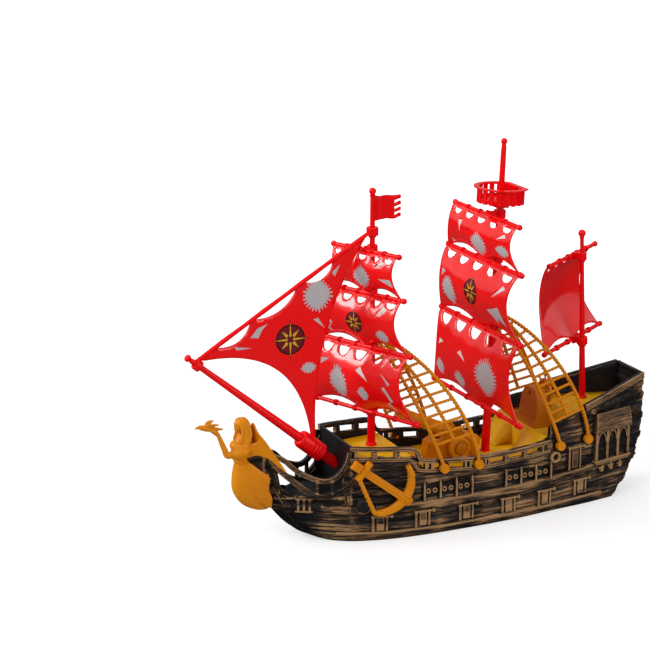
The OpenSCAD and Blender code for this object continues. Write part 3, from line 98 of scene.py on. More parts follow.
def background_rays(tree):
    """1 for rays that should see the white background: camera and see-through rays."""
    path = add_node(tree, "ShaderNodeLightPath").outputs
    return add_node(tree, "ShaderNodeMath", {0: path["Is Camera Ray"], 1: path["Is Transmission Ray"]},
                    operation="MAXIMUM")


camera = placed_object("camera", bpy.data.cameras.new("camera"), CAMERA_AT, CAMERA_LOOKS_AT)
camera.data.lens = LENS_MM
bpy.context.scene.camera = camera
bpy.context.scene.view_settings.view_transform = "Standard"

for lamp_name, (lamp_at, width, power) in LAMPS.items():
    lamp = bpy.data.lights.new("lamp_" + lamp_name, "AREA")
    lamp.size = width
    lamp.energy = power
    placed_object("lamp_" + lamp_name, lamp, lamp_at, LAMPS_LOOK_AT)

world = bpy.data.worlds.new("studio")
world.use_nodes = True
bpy.context.scene.world = world
sky = world.node_tree
level = add_node(sky, "ShaderNodeMapRange", {"Value": background_rays(sky), "To Min": SKY_LIGHT, "To Max": 1.0})
feed(sky, sky.nodes["Background"], {"Color": linear("ffffff"), "Strength": level})

# White paper: part of its brightness is its own, more so far from the ship, so that it reads white to the
# edge of the picture and still takes a soft shadow
paper = bpy.data.materials.new("white_paper")
paper.use_nodes = True
tree = paper.node_tree
tree.nodes.clear()
matt = add_node(tree, "ShaderNodeBsdfDiffuse", {"Color": linear("c4c4c4")})
place = add_node(tree, "ShaderNodeTexCoord").outputs["Object"]
away = add_node(tree, "ShaderNodeVectorMath", {0: place}, operation="LENGTH").outputs["Value"]
own = add_node(tree, "ShaderNodeMapRange", {"Value": away, "From Min": GLOW_FROM, "From Max": GLOW_TO,
                                            "To Min": GLOW_NEAR, "To Max": GLOW_FAR})
glow = add_node(tree, "ShaderNodeEmission", {"Color": linear("ffffff"), "Strength": own})
both = add_node(tree, "ShaderNodeAddShader", {0: matt, 1: glow})
# Mirrored in the gloss of the ship the paper is dark, as in a studio with the room lights off
glossy_ray = add_node(tree, "ShaderNodeLightPath").outputs["Is Glossy Ray"]
dim = add_node(tree, "ShaderNodeBsdfDiffuse", {"Color": linear("3c3c3c")})
lit = add_node(tree, "ShaderNodeMixShader", {0: glossy_ray, 1: matt, 2: dim})
mixed = add_node(tree, "ShaderNodeMixShader", {0: background_rays(tree), 1: lit, 2: both})
add_node(tree, "ShaderNodeOutputMaterial", {0: mixed})
floor_mesh = bpy.data.meshes.new("floor")
corners = [(x * FLOOR_HALF, y * FLOOR_HALF, FLOOR_Z) for x, y in ((-1, -1), (1, -1), (1, 1), (-1, 1))]
floor_mesh.from_pydata(corners, [], [(0, 1, 2, 3)])
floor_mesh.materials.append(paper)
floor = placed_object("floor", floor_mesh)


# Hull shell: two halves of black injection-moulded plastic, screwed together at the keel. The
# mould gives them planks, wales and wood grain, and bronze paint is dry-brushed over what is raised.
# Stations from stem to stern: place and half breadth at the bottom, then at the rail
OFFSETS = np.array([
    (-99, 1.8, -127, 1.8), (-96.5, 8, -121, 4.6), (-93, 14.5, -113, 8.3), (-87, 20, -103, 13),
    (-78, 25, -90, 19), (-64, 29, -76, 24.8), (-46, 31.6, -60, 28.5), (-24, 32.4, -38, 31.2),
    (2, 32, -8, 31.6), (30, 30.4, 30, 31.6), (58, 26.8, 60, 29.4), (80, 24.4, 92, 23.2), (101, 20.6, 125, 14.8)])
STEM_X, STERN_X = -127, 125
FULL_Z, WALL = 53, 1.8
# Side view of the top edge of the planking
SHEER = [
    (-135, 53), (-121.5, 53), (-119.5, 36), (-115, 31), (-109, 28), (-96, 28), (-89, 30), (-84, 33.5),
    (-84, 46.5), (-82.2, 50.5), (-80, 58.5), (-42.5, 55.5), (-37, 48), (-22, 46.2), (-4, 44.8), (12, 44.8),
    (32, 46.2), (50, 48), (50.3, 57.5), (74, 61.5), (76, 64.5), (126, 77), (135, 77)]
# Slots through the rail: middle and width; panels with rings: middle, height, width and depth
SLOTS = [(-72.5, 8.6), (-60, 10.4), (-43.75, 15.5), (-33, 1.9), (-27.8, 4), (-14.7, 10.2), (-4, 2), (2.7, 2.2),
         (12.5, 9.8), (25.5, 9.8), (38.5, 9.8)]
SLOT_TOP, SLOT_FOOT = 2.5, 6.1
RING_PANELS = [(-20, 27, 32, 9), (34.7, 27.5, 32, 8.6)]
PANEL_SINK = 0.95
PLANK, GROOVE, SEAM_HALF, PLANK_STEP, WALE_OUT, WALE_Z = 5.3, 0.5, 0.45, 0.28, 0.5, 21
PLANK_END, BUTT = 4.3, 0.75
# Rows of the grid: up to a bend, from there to below the slots, then at the edges of the slots
RAIL_FROM, RAIL_TO, RAIL_STEP = 20.0, 82, 0.1
BEND_Z, BEND_DROP, SLOTS_DROP, LOW_ROWS, HIGH_ROWS = 40, 9, 7.6, 60, 22
COLUMN_PITCH, COLUMN_GAP, END_COLUMNS = 1.4, 0.09, 8
# Columns where the top edge steps up
STEP_COLUMNS = [*np.arange(-86, -79, 0.5), 49.9, 50.1, 50.3]
# Painted shade: the planking under the head rails takes less bronze towards the stem, where their shadow falls
HEAD_X, HEAD_FADE, HEAD_PAINTED_SHADE = -94, 10, 0.6
MM = 0.001


def spline(rows, steps):
    """Smooth curve through rows of numbers."""
    rows = np.asarray(rows, float)
    last = len(rows) - 1
    made = []
    for i in range(last):
        a, b, c, d = (rows[min(max(i + k, 0), last)] for k in (-1, 0, 1, 2))
        for t in np.arange(steps) / steps:
            made.append(0.5 * (2 * b + (c - a) * t + (2 * a - 5 * b + 4 * c - d) * t ** 2
                               + (3 * b - a - 3 * c + d) * t ** 3))
    return np.array(made + [rows[last]])


STATIONS = spline(OFFSETS, 8)
SHARES = np.linspace(0, 1, len(STATIONS))


def flare(z, share):
    """How far a side at a share of the length has gone from the bottom line to the rail line at a height."""
    return 1 - np.maximum(0, 1 - z / FULL_Z) ** (3.3 - 1.1 * share)


def half_breadth(x, z):
    w = flare(z, SHARES)
    xb, yb, xt, yt = STATIONS.T
    return float(np.interp(x, xb + (xt - xb) * w, yb + (yt - yb) * w))


def shifted(x, y, z):
    return Matrix.Translation((x, y, z))


def turned(angle, axis):
    return Matrix.Rotation(angle, 4, axis)


def on_hull(x, z):
    """Frame on the port side: X runs aft along the planking and -Y points out."""
    yaw = atan((half_breadth(x - 2, z) - half_breadth(x + 2, z)) / 4)
    return shifted(x, -half_breadth(x, z), z) @ turned(yaw, "Z")


def sheer_z(x):
    return float(np.interp(x, *zip(*SHEER)))


def around(count):
    """Angles that step once round a circle."""
    return np.arange(count) * tau / count


class Shape:
    """Points in millimetres and faces, collected for one mesh."""

    def __init__(self):
        self.points = []
        self.faces = []

    def add(self, points, faces, place=Matrix()):
        start = len(self.points)
        self.points += [place @ Vector(p) for p in points]
        self.faces += [tuple(start + i for i in face) for face in faces]

    def grid(self, rows, place=Matrix(), loop=True, caps=True):
        """Skin over rows of points; loop closes each row, caps shuts the first and last."""
        n = len(rows[0])
        wide = n if loop else n - 1
        faces = [(i * n + j, i * n + (j + 1) % n, (i + 1) * n + (j + 1) % n, (i + 1) * n + j)
                 for i in range(len(rows) - 1) for j in range(wide)]
        if caps:
            faces += [tuple(reversed(range(n))), tuple((len(rows) - 1) * n + j for j in range(n))]
        self.add([p for row in rows for p in row], faces, place)

    def block(self, size, place=Matrix(), top=(1, 1)):
        """Box on its middle; top narrows its upper face."""
        x, y, z = (v / 2 for v in size)
        self.grid([[(-x * a, -y * b, h), (x * a, -y * b, h), (x * a, y * b, h), (-x * a, y * b, h)]
                   for h, a, b in ((-z, 1, 1), (z, *top))], place)

    def lathe(self, profile, sides, place=Matrix(), caps=True):
        """Turned form about Z from pairs of radius and height, from the bottom up."""
        self.grid([[(r * cos(a), r * sin(a), z) for a in around(sides)] for r, z in profile], place, caps=caps)

    def ring(self, section, sides, place):
        """Closed ring about Z from a section that runs anticlockwise in radius and height."""
        self.lathe(section + section[:1], sides, place, caps=False)

    def prism(self, outline, low, high, place=Matrix()):
        """Plate between two heights from an outline that runs anticlockwise."""
        self.grid([[(x, y, h) for x, y in outline] for h in (low, high)], place)

    def tube(self, path, section, side=Vector((0, 1, 0))):
        """Bar along a path; the section's pairs lie across it, the first along the side."""
        path = [Vector(p) for p in path]
        rows = []
        for i, p in enumerate(path):
            run = (path[min(i + 1, len(path) - 1)] - path[max(i - 1, 0)]).normalized()
            across = (side - run * side.dot(run)).normalized()
            up = run.cross(across)
            rows.append([p + across * a + up * b for a, b in section])
        self.grid(rows)

    def mirrored(self):
        other = Shape()
        other.points = [Vector((p.x, -p.y, p.z)) for p in self.points]
        other.faces = [tuple(reversed(face)) for face in self.faces]
        return other

    def sides(self):
        """The form for the port side and its mirror image for the starboard side."""
        return ("port", self), ("starboard", self.mirrored())

    def mesh(self, name):
        made = bpy.data.meshes.new(name)
        made.from_pydata([p * MM for p in self.points], [], self.faces)
        return made


def finish_piece(name, mesh, materials, body, slot, nodes=(), sharp=35, bevel=0.0):
    """Object that rides on a body and stands for CAD nodes; sharp is in degrees and bevel in millimetres."""
    mesh.materials.clear()
    for material in materials:
        mesh.materials.append(material)
    mesh.shade_smooth()
    mesh.set_sharp_from_angle(angle=radians(sharp))
    made = placed_object(name, mesh)
    if bevel:
        edge = made.modifiers.new("edge", "BEVEL")
        edge.width = bevel * MM
        edge.segments = 2
        edge.limit_method = "ANGLE"
        edge.angle_limit = radians(40)
        edge.harden_normals = True
    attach(made, body)
    if nodes:
        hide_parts(*nodes)
    return made


def new_piece(name, shape, *rest, **more):
    return finish_piece(name, shape.mesh(name), *rest, **more)


def thicken(made, thickness, offset, material_offset=0):
    """Gives a skin its wall in millimetres; offset -1 grows it behind the skin, 0 to both sides."""
    wall = made.modifiers.new("thickness", "SOLIDIFY")
    wall.thickness = thickness * MM
    wall.offset = offset
    wall.material_offset = material_offset


def feed_shader(material, inputs):
    """Sets or links inputs of the one shader of a material."""
    feed(material.node_tree, material.node_tree.nodes["Principled BSDF"], inputs)


def new_plastic(name, shine):
    """Material with its tree and the place on the piece."""
    material = bpy.data.materials.new(name)
    material.use_nodes = True
    feed_shader(material, {"Specular IOR Level": shine})
    return material, material.node_tree, add_node(material.node_tree, "ShaderNodeTexCoord").outputs["Object"]


def moulded(name, colour, shade, roughness, grain_mm=0.35, bump=0.06, transmission=0.0, cloud_mm=22.0, shine=0.35):
    """Injection-moulded plastic: faint cloudy colour, a fine mould grain and uneven gloss."""
    material, tree, place = new_plastic(name, shine)
    cloud = add_node(tree, "ShaderNodeTexNoise", {"Vector": place, "Scale": 1000 / cloud_mm, "Detail": 3.0})
    tint = add_node(tree, "ShaderNodeMix", {0: cloud, 6: linear(colour), 7: linear(shade)}, data_type="RGBA")
    gloss = add_node(tree, "ShaderNodeMapRange", {"Value": cloud, "From Min": 0.3, "From Max": 0.7,
                                                  "To Min": roughness - 0.05, "To Max": roughness + 0.06})
    grain = add_node(tree, "ShaderNodeTexNoise", {"Vector": place, "Scale": 1000 / grain_mm, "Detail": 2.0})
    pits = add_node(tree, "ShaderNodeBump", {"Height": grain, "Strength": bump, "Distance": 0.0001})
    feed_shader(material, {"Base Color": tint.outputs[2], "Roughness": gloss, "Normal": pits, "IOR": 1.49,
                           "Transmission Weight": transmission})
    return material


def brushed_wood(name, low=1.06, high=1.3):
    """Black plastic with bronze paint dragged over it: it takes on grain that stands out and edges and misses the
    hollows, and on the hull a point attribute adds painted shade under the head rails.
    """
    material, tree, place = new_plastic(name, 0.3)

    def weighed(value, weight, base):
        return add_node(tree, "ShaderNodeMath", {0: value, 1: weight, 2: base}, operation="MULTIPLY_ADD")

    # Streaks about 10 mm long and 0.7 mm high that fall a little aft, and broad patches where the brush was drier
    along = add_node(tree, "ShaderNodeMapping", {"Vector": place, "Rotation": (0, 0.1, 0), "Scale": (95, 230, 1500)})
    streak = add_node(tree, "ShaderNodeTexNoise", {"Vector": along, "Scale": 1.0, "Detail": 8.0,
                                                   "Roughness": 0.74, "Distortion": 0.6})
    patch = add_node(tree, "ShaderNodeTexNoise", {"Vector": place, "Scale": 45.0, "Detail": 2.0})
    # Bronze cover per point of the hull, which also carries the painted shade under the head rails
    raised = add_node(tree, "ShaderNodeAttribute", attribute_name="raised")
    worn = weighed(patch, 0.75, weighed(raised.outputs["Fac"], 0.45, streak))
    hollow = add_node(tree, "ShaderNodeAmbientOcclusion", {"Distance": 0.0025}, samples=6)
    edge = add_node(tree, "ShaderNodeAmbientOcclusion", {"Distance": 0.0009}, samples=6, inside=True)
    caught = weighed(edge.outputs["AO"], -0.6, weighed(hollow.outputs["AO"], 0.9, worn))
    # What the two terms leave on a flat open face
    flat = 0.3
    cover = add_node(tree, "ShaderNodeMapRange", {"Value": caught, "From Min": low + flat, "From Max": high + flat})
    ramp = add_node(tree, "ShaderNodeValToRGB", {"Fac": cover})
    ramp.color_ramp.elements[0].color = linear("151313")
    ramp.color_ramp.elements[1].color = linear("b88e62")
    ramp.color_ramp.elements.new(0.5).color = linear("664a32")
    rough = add_node(tree, "ShaderNodeMapRange", {"Value": cover, "To Min": 0.36, "To Max": 0.52})
    metal = add_node(tree, "ShaderNodeMath", {0: cover, 1: 0.25}, operation="MULTIPLY")
    ridge = add_node(tree, "ShaderNodeBump", {"Height": streak, "Strength": 0.6, "Distance": 0.0006})
    feed_shader(material, {"Base Color": ramp, "Roughness": rough, "Metallic": metal, "Normal": ridge})
    return material


def sprung(x, z, way=1):
    """A height moved up, or down for way -1, as the planks rise towards both ends of the ship."""
    return z + way * 0.012 * (x + 20) + way * 0.00033 * (x + 20) ** 2


def grain_height(x, z):
    """How far the planking stands out by its steps, seams, wales and grain, and how much paint it takes."""
    rise = sprung(x, z, -1)
    plank = whole(rise / PLANK)
    within = rise / PLANK - plank
    step = PLANK_STEP * sin(plank * 2.6)
    seam = -GROOVE * exp(-(min(within, 1 - within) * PLANK / SEAM_HALF) ** 2)
    streak = 0.3 * noise.noise((x * 0.055, z * 0.85, plank * 3.7)) + 0.16 * noise.noise((x * 0.13, z * 1.9, 7.3))
    wale = WALE_OUT if rise < WALE_Z else 0
    return step + seam + streak + wale, 0.5 + 1.3 * streak + 0.5 * seam + 0.25 * step


def hull_columns():
    """Places of the grid's columns along the rail, with extra ones at every edge that crosses the planking."""
    edges = [x + s * w / 2 for x, w in SLOTS for s in (-1, 1)]
    edges += [x + s * (w / 2 + e) for x, _, w, _ in RING_PANELS for s in (-1, 1) for e in (0, 0.3)]
    columns = [*np.arange(STEM_X, STERN_X + 0.1, COLUMN_PITCH), *edges, *STEP_COLUMNS, STERN_X]
    columns = sorted(set(round(float(x), 2) for x in columns if STEM_X <= x <= STERN_X))
    return [x for i, x in enumerate(columns) if i == 0 or x - columns[i - 1] > COLUMN_GAP]


def hull_line(top_x, last):
    """One column of the planking from the bottom to the rail: pairs of a point and how much paint it takes, less
    under the head rails as painted shade.
    """
    share = float(np.interp(top_x, STATIONS[:, 2], SHARES))
    xb, yb, xt, yt = (float(np.interp(share, SHARES, STATIONS[:, k])) for k in range(4))

    def at(z):
        w = flare(z, share)
        return xb + (xt - xb) * w, yb + (yt - yb) * w

    top = RAIL_FROM
    while top < RAIL_TO and top < sheer_z(at(top)[0]):
        top += RAIL_STEP
    bend = min(BEND_Z, top - BEND_DROP)
    heights = [bend * k / LOW_ROWS for k in range(LOW_ROWS + 1)]
    heights += [bend + (top - SLOTS_DROP - bend) * k / HIGH_ROWS for k in range(1, HIGH_ROWS + 1)]
    heights += [top - d for d in (SLOT_FOOT + 0.5, SLOT_FOOT, 4.9, 3.7, SLOT_TOP, 1.2, 0)]
    line = []
    for z in heights:
        x, y = at(z)
        lift, raised = grain_height(x, z)
        # Painted shade: less bronze under the head rails, fading in towards the stem
        raised -= HEAD_PAINTED_SHADE * min(1, max(0, (HEAD_X - x) / HEAD_FADE))
        for px, pz, pw, ph in RING_PANELS:
            if abs(x - px) < pw / 2 and abs(z - pz) < ph / 2:
                lift, raised = -PANEL_SINK, 0.2
        edge = min(1, z / 1.5)
        slope = (half_breadth(x + 1, z) - half_breadth(x - 1, z)) / 2
        out = lift * edge / hypot(1, slope) - 0.5 * (1 - edge)
        # Planks end unevenly at the stern
        end = BUTT * sin(whole(z / PLANK_END) * 4.1) if last else 0
        line.append((Vector((x - out * slope + end, -y - out, z)), raised))
    return line


def hull_shell():
    """Grid of the port side: columns follow the stations and rows are measured down from the rail."""
    columns = hull_columns()
    rows = [hull_line(x, x == columns[-1]) for x in columns]
    # Stem and transom close the ends to the middle of the ship
    stem = [[(Vector((p.x, p.y * k / END_COLUMNS, p.z)), r) for p, r in rows[0]] for k in range(END_COLUMNS)]
    transom = []
    for k in range(1, END_COLUMNS + 1):
        line = []
        for p, _ in rows[-1]:
            y = p.y * (1 - k / END_COLUMNS)
            lift, raised = grain_height(y * 1.6 + 40, p.z)
            line.append((Vector((p.x + lift * (k < END_COLUMNS) * 0.8, y, p.z)), raised))
        transom.append(line)
    shape = Shape()
    n = len(rows[0])
    slot_rows = range(n - 6, n - 3)
    lines = stem + rows + transom
    shape.points = [p for line in lines for p, _ in line]
    for i in range(len(lines) - 1):
        k = i - END_COLUMNS
        middle = (columns[k] + columns[k + 1]) / 2 if 0 <= k < len(columns) - 1 else STERN_X
        in_slot = any(x - w / 2 < middle < x + w / 2 for x, w in SLOTS)
        shape.faces += [(i * n + j, (i + 1) * n + j, (i + 1) * n + j + 1, i * n + j + 1)
                        for j in range(n - 1) if not (in_slot and j in slot_rows)]
    return shape, [r for line in lines for _, r in line]


timber = brushed_wood("dry_brushed_black_plastic")
bare_black = moulded("satin_black_plastic", "1d1d1f", "151517", 0.4, shine=0.25)
shell, shell_raised = hull_shell()
for side, form in shell.sides():
    name = "hull_" + side
    hull_side = new_piece(name, form, [timber, bare_black], "hull", "hull_plastic", [name], sharp=50)
    hull_side.data.attributes.new("raised", "FLOAT", "POINT").data.foreach_set("value", shell_raised)
    thicken(hull_side, WALL, -1, material_offset=1)


# Hull floor, beak deck and bulkhead: flat walls moulded in one with each half of the hull, plain
# satin black where no paint was brushed on. The floor is open in the middle for the battery door.
DOOR_X, DOOR_Y = 18.4, 13.4
FLOOR_FROM, FLOOR_TO, FLOOR_T, FLOOR_LIFT = -98.6, 100.4, 2.0, 0.02
BEAK_FROM, BEAK_Z = -120, 28
BULKHEAD_X, BULKHEAD_T, BULKHEAD_TOP = -80, 1.5, 58.5
IN_WALL = 0.5

inner = Shape()
keel = [(x, -half_breadth(x, 0) + IN_WALL) for x in np.linspace(FLOOR_FROM, FLOOR_TO, 60)]
door = [(DOOR_X, 0), (DOOR_X, -DOOR_Y), (-DOOR_X, -DOOR_Y), (-DOOR_X, 0)]
inner.prism(keel + [(FLOOR_TO, 0)] + door + [(FLOOR_FROM, 0)], FLOOR_LIFT, FLOOR_T)
beak = [(x, -half_breadth(x, BEAK_Z) + 0.4) for x in np.linspace(BEAK_FROM, BULKHEAD_X, 24)]
inner.prism(beak + [(BULKHEAD_X, 0), (BEAK_FROM, 0)], BEAK_Z - WALL, BEAK_Z)
levels = list(np.linspace(FLOOR_T, BULKHEAD_TOP, 24))
inner.grid([[(x, -half_breadth(BULKHEAD_X, z) + IN_WALL, z) for z in levels] + [(x, 0, levels[-1]), (x, 0, levels[0])]
            for x in (BULKHEAD_X + BULKHEAD_T, BULKHEAD_X)])
for side, form in inner.sides():
    new_piece("inner_walls_" + side, form, [bare_black], "hull", "hull_plastic", bevel=0.3)


# Rails and mouldings: raised bands of the same plastic along each side, brushed more heavily with
# bronze than the planking, with grooves run along them as if planed from timber.
# Each rail: places in side view, then half depth, half height and ridges of its section
RAILS = [
    ([(-79.6, 57.4), (-61, 56), (-43, 54.4), (-37.2, 47), (-22, 45), (-4, 43.6), (12, 43.6), (32, 45), (49.6, 46.8)],
     (1.5, 1.3, 2)),
    ([(-80.5, 50.9), (-62, 49.6), (-46, 48.2), (-41.5, 43.6), (-38, 41), (-22, 39.2), (-4, 37.8), (12, 37.8),
      (32, 39.2), (49.8, 40.8)], (1.3, 1.05, 2)),
    ([(75.8, 63.4), (92, 67.4), (108, 71.4), (124, 75.4)], (1.5, 2, 3))]
HEAD_RAILS = [
    ([(-81, 55.5), (-83, 47.5), (-88, 40.2), (-95, 37.7), (-103, 40.3), (-110, 44.6), (-116, 50.5), (-121.5, 53)],
     (1.4, 1.5, 3)),
    ([(-76, 41.8), (-82, 34.2), (-89, 29.8), (-96, 28), (-104, 31.5), (-112, 38.3), (-118, 44.2), (-123, 51)],
     (1.5, 1.8, 3))]
# The wale stops short of the sound button on both sides
WALE_RUNS = [np.linspace(-96, -80, 4), np.linspace(-66, 108, 15)]
POSTS_X, POST_PITCH, POSTS_Z = -105, 3, 22.6
# Side view of the knee of the head, which carries the stem forward under the cape of the figurehead
KNEE = [(-122, 32), (-122, 52.6), (-136, 52.8), (-136, 46), (-132, 42), (-128, 38), (-126, 34), (-125, 32)]
KNEE_HALF = 1.9
FACE_OUT = turned(pi / 2, "X")
trim_timber = brushed_wood("heavily_brushed_black_plastic", 0.7, 1.04)
edge_timber = brushed_wood("edge_brushed_black_plastic", 0.88, 1.15)


def rail(shape, places, section, steps=8):
    """Moulding on the port planking through places in side view, with grooves along its outer face."""
    w, h, ridges = section
    outline = [(w, -h), (w, h)]
    for k in range(ridges):
        high, low = (h - 2 * h * (k + end) / ridges for end in (0, 1))
        round_off = 0.22 * h / ridges
        outline += [(-w + 0.55, high), (-w, high - round_off - 0.1), (-w, low + round_off + 0.1)]
    shape.tube([(x, -half_breadth(x, z), z) for x, z in spline(places, steps)], outline + [(-w + 0.55, -h)])


def paint_outside_only(made):
    """The brush never reached the inboard faces, so they stay bare."""
    for face in made.data.polygons:
        x, y, z = face.center / MM
        outward = face.normal.y * copysign(1, y)
        face.material_index = int(outward < 0.25 or abs(y) < half_breadth(x, z) - 0.6)


rails = Shape()
head_rails = Shape()
for places, section in RAILS:
    rail(rails, places, section)
for places, section in HEAD_RAILS:
    rail(head_rails, places, section)
for run in WALE_RUNS:
    rail(head_rails, [(x, sprung(x, WALE_Z)) for x in run], (1.1, 1.0, 1), 3)
rail(head_rails, [(x, 4.4 + 0.00012 * x * x) for x in range(-88, 100, 12)], (0.7, 0.7, 1), 3)
for x, w in SLOTS:
    for s in (-1, 1):
        rails.block((1.5, 2.6, 3.8), on_hull(x + s * (w / 2 + 0.75), sheer_z(x + s * w / 2) - 4.3))
# Small open posts below the head rails
for size, x, z in ([((1.6, 2.0, 9), x, 34) for x in (-90, -98)]
                   + [((1.5, 2.6, 7.4), POSTS_X + POST_PITCH * k, POSTS_Z) for k in (-1, 0, 1)]
                   + [((10.5, 2.4, 1.1), POSTS_X, z) for z in (POSTS_Z - 4, POSTS_Z + 4)]):
    head_rails.block(size, on_hull(x, z))
head_rails.prism(KNEE, 0, KNEE_HALF, FACE_OUT)
for (side, form), (_, head_form) in zip(rails.sides(), head_rails.sides()):
    for made, made_form, paint in (("rails_", form, trim_timber), ("head_rails_", head_form, edge_timber)):
        paint_outside_only(new_piece(made + side, made_form, [paint, bare_black], "hull", "hull_plastic", bevel=0.18))


# Gun-port lids, ringed ports and quarter gallery: raised detail of the mould on each side. A lid is a
# panel between two battens under a hinge bar, and the gallery has a roof over three arched windows.
# Lids: place, height, width and depth
LIDS = [(-63.5, 10.5, 11, 8.5), (-37, 11, 11, 8.5), (-8, 11, 11, 8.5), (21, 10.5, 11, 8.5), (47, 11, 11, 8.5),
        (74, 13, 11, 8.5), (68.5, 33, 11, 13)]
RING = [(1.6, 0), (1.6, 0.9), (1.35, 1.2), (1.05, 1.2), (0.8, 0.9), (0.8, 0)]
# Scroll at the after end of the waist rail, and a small one under the quarter rail
SCROLL = [(3.7, -1.5), (3.7, 1.5), (3.2, 2.0), (2.4, 2.0), (2.0, 1.5), (2.0, -1.5)]
SMALL_SCROLL = 0.42
GALLERY_X, GALLERY_W, SILL_Z, EAVES_Z, GALLERY_T = 98, 27, 27, 46, 2.2
ARCH_DROP, PENDANT_PITCH = 7, 7.5
ROOF_H, ROOF_OVER, ROOF_TAPER = 12, 1.4, 0.8
# Courses of the roof: share of its height and how far it stands out
COURSES = [(0, 1.2), (0.08, 1.6), (0.36, 1.15), (0.4, 1.45), (0.68, 0.5), (0.72, 0.8), (1, -0.3)]


def round_section(r, count):
    return [(r * cos(a), r * sin(a)) for a in around(count)]


ports = Shape()
rings = Shape()
rings.ring(SCROLL, 28, on_hull(53.6, 36) @ FACE_OUT)
rings.ring([(r * SMALL_SCROLL, z) for r, z in SCROLL], 16, on_hull(82, 60) @ FACE_OUT)
for x, z, w, h in LIDS:
    for size, along, up in (((w * 0.42, 2.4, h), 0.2, 0), ((1.5, 2.9, h + 1.2), -w * 0.39, -0.2),
                            ((1.3, 2.7, h + 0.6), w * 0.38, -0.1), ((w + 1.6, 3.2, 1.1), 0.9, h / 2 + 0.2),
                            ((1.5, 3.8, 2.0), w / 2 + 1.5, h / 2 + 0.1)):
        ports.block(size, on_hull(x, z) @ shifted(along, 0, up))
for x, z, w, h in RING_PANELS:
    for k in range(4):
        bar = (k / 3 - 0.5) * w
        ports.block((1.2, 2.5, h), on_hull(x, z) @ shifted(bar, 0, -0.6))
        ports.block((1.2, 2.5, 2.6), on_hull(x, z) @ shifted(bar, 0, h / 2 + 0.7), top=(0.3, 0.7))
    for k in range(3):
        for s in (-1, 1):
            off = ((k + 0.5) / 3 - 0.5) * w + s * 2.2
            rings.ring(RING, 16, on_hull(x + off, z) @ shifted(0, 1.1, 0) @ FACE_OUT)
# Gallery: columns and arched frames over dark sunken panels, then sill, pendants and the roof
window_w = GALLERY_W / 3
gallery_h = EAVES_Z - SILL_Z
sill = on_hull(GALLERY_X, SILL_Z)
panels = Shape()
for k in range(4):
    ports.block((1.8, 2 * GALLERY_T + 0.8, gallery_h), sill @ shifted((k - 1.5) * window_w, 0, gallery_h / 2))
for k in (-1, 0, 1):
    panels.block((window_w, 2 * GALLERY_T - 2.2, gallery_h), sill @ shifted(k * window_w, 0, gallery_h / 2))
    opening = [((0.5 * window_w - 1.1) * cos(a), -ARCH_DROP + (0.9 * window_w - 2) * sin(a))
               for a in np.linspace(0, pi, 15)]
    frame_line = [(s * window_w, z) for s, z in ((0.5, -ARCH_DROP), (0.5, 0), (-0.5, 0), (-0.5, -ARCH_DROP))]
    panels.prism(frame_line + opening[::-1], 0, GALLERY_T - 0.1,
                 sill @ shifted(k * window_w, 0, gallery_h) @ FACE_OUT)
    ports.tube([sill @ Vector((k * window_w + x, -GALLERY_T + 0.1, gallery_h + z)) for x, z in opening],
               round_section(0.4, 8))
ports.block((GALLERY_W + 3, 2 * GALLERY_T + 2.2, 1.4), sill)
ports.block((GALLERY_W + 1, 2 * GALLERY_T + 1, 1.0), sill @ shifted(0, 0, -1.6))
for k in (-1, 0, 1):
    for size, up in (((1.6, 3.4, 6.4), 1.4), ((4.4, 2.8, 1.5), 0), ((2.4, 3.8, 2.2), -1.4)):
        ports.block(size, on_hull(GALLERY_X + k * PENDANT_PITCH, SILL_Z - 5) @ shifted(0, 0, up))
rows = []
for share, out in COURSES[::-1]:
    half, face = GALLERY_W / 2 + ROOF_OVER - ROOF_TAPER * share, -GALLERY_T - out
    course = [(-half, face), (-half * 0.33, face - 0.12), (half * 0.33, face - 0.12), (half, face), (half, 1.5),
              (-half, 1.5)]
    rows.append([(x, y, ROOF_H * share) for x, y in course])
ports.grid(rows, on_hull(GALLERY_X, EAVES_Z))
ring_timber = brushed_wood("bronzed_black_plastic", 0.2, 0.7)
for made, shape, paint, bevel in (
        ("ports_and_gallery_", ports, trim_timber, 0.16), ("rings_", rings, ring_timber, 0.1),
        ("gallery_panels_", panels, timber, 0.12)):
    for side, form in shape.sides():
        new_piece(made + side, form, [paint], "hull", "hull_plastic", bevel=bevel)


# Decks: three smooth yellow mouldings dropped into the hull, with sloped pads round the fore and
# mizzen masts and a ramp with a sunken panel up to the helm. The plastic is satin and slightly cloudy.
FORE_DECK_Z, WAIST_DECK_Z, HELM_DECK_Z, POOP_DECK_Z, DECK_T = 46, 34, 50, 57, 1.6
DECK_CLEAR = WALL + 0.5
FORE_DECK_RUN, WAIST_DECK_RUN = (-78.2, -38), (-40, 32.8)
# Ring round the foot of the mainmast
MAST_RING = [(5.6, -0.1), (5.6, 0.6), (4.6, 1.2), (2.7, 1.2)]
FOREMAST_X, MAINMAST_X, MIZZEN_X = -56, 21.7, 89.8
BREAK_X, BREAK_Z = -38.8, 40
RAMP = [(33, WAIST_DECK_Z), (46.5, HELM_DECK_Z), (68, HELM_DECK_Z), (73, POOP_DECK_Z), (121.5, POOP_DECK_Z)]
RAMP_STEPS, RECESS_HALF, RECESS_STEPS = 12, 8, 10
deck_yellow = moulded("yellow_deck_plastic", "ecb600", "dca400", 0.38, shine=0.2)


def deck_plate(shape, run, z):
    """Flat deck that fits between the walls of the hull."""
    edge = [(x, min(half_breadth(x, z), half_breadth(x, z - DECK_T)) - DECK_CLEAR) for x in np.linspace(*run, 24)]
    shape.prism([(x, -y) for x, y in edge] + edge[::-1], z - DECK_T, z)


def mast_pad(shape, x, z, foot, step):
    """Sloped pad with a flat step on top round the foot of a mast."""
    shape.block((*foot, 3.6), shifted(x, 0, z + 1.8), top=(0.5, 0.42))
    shape.block((*step, 0.7), shifted(x, 0, z + 3.2), top=(0.94, 0.94))


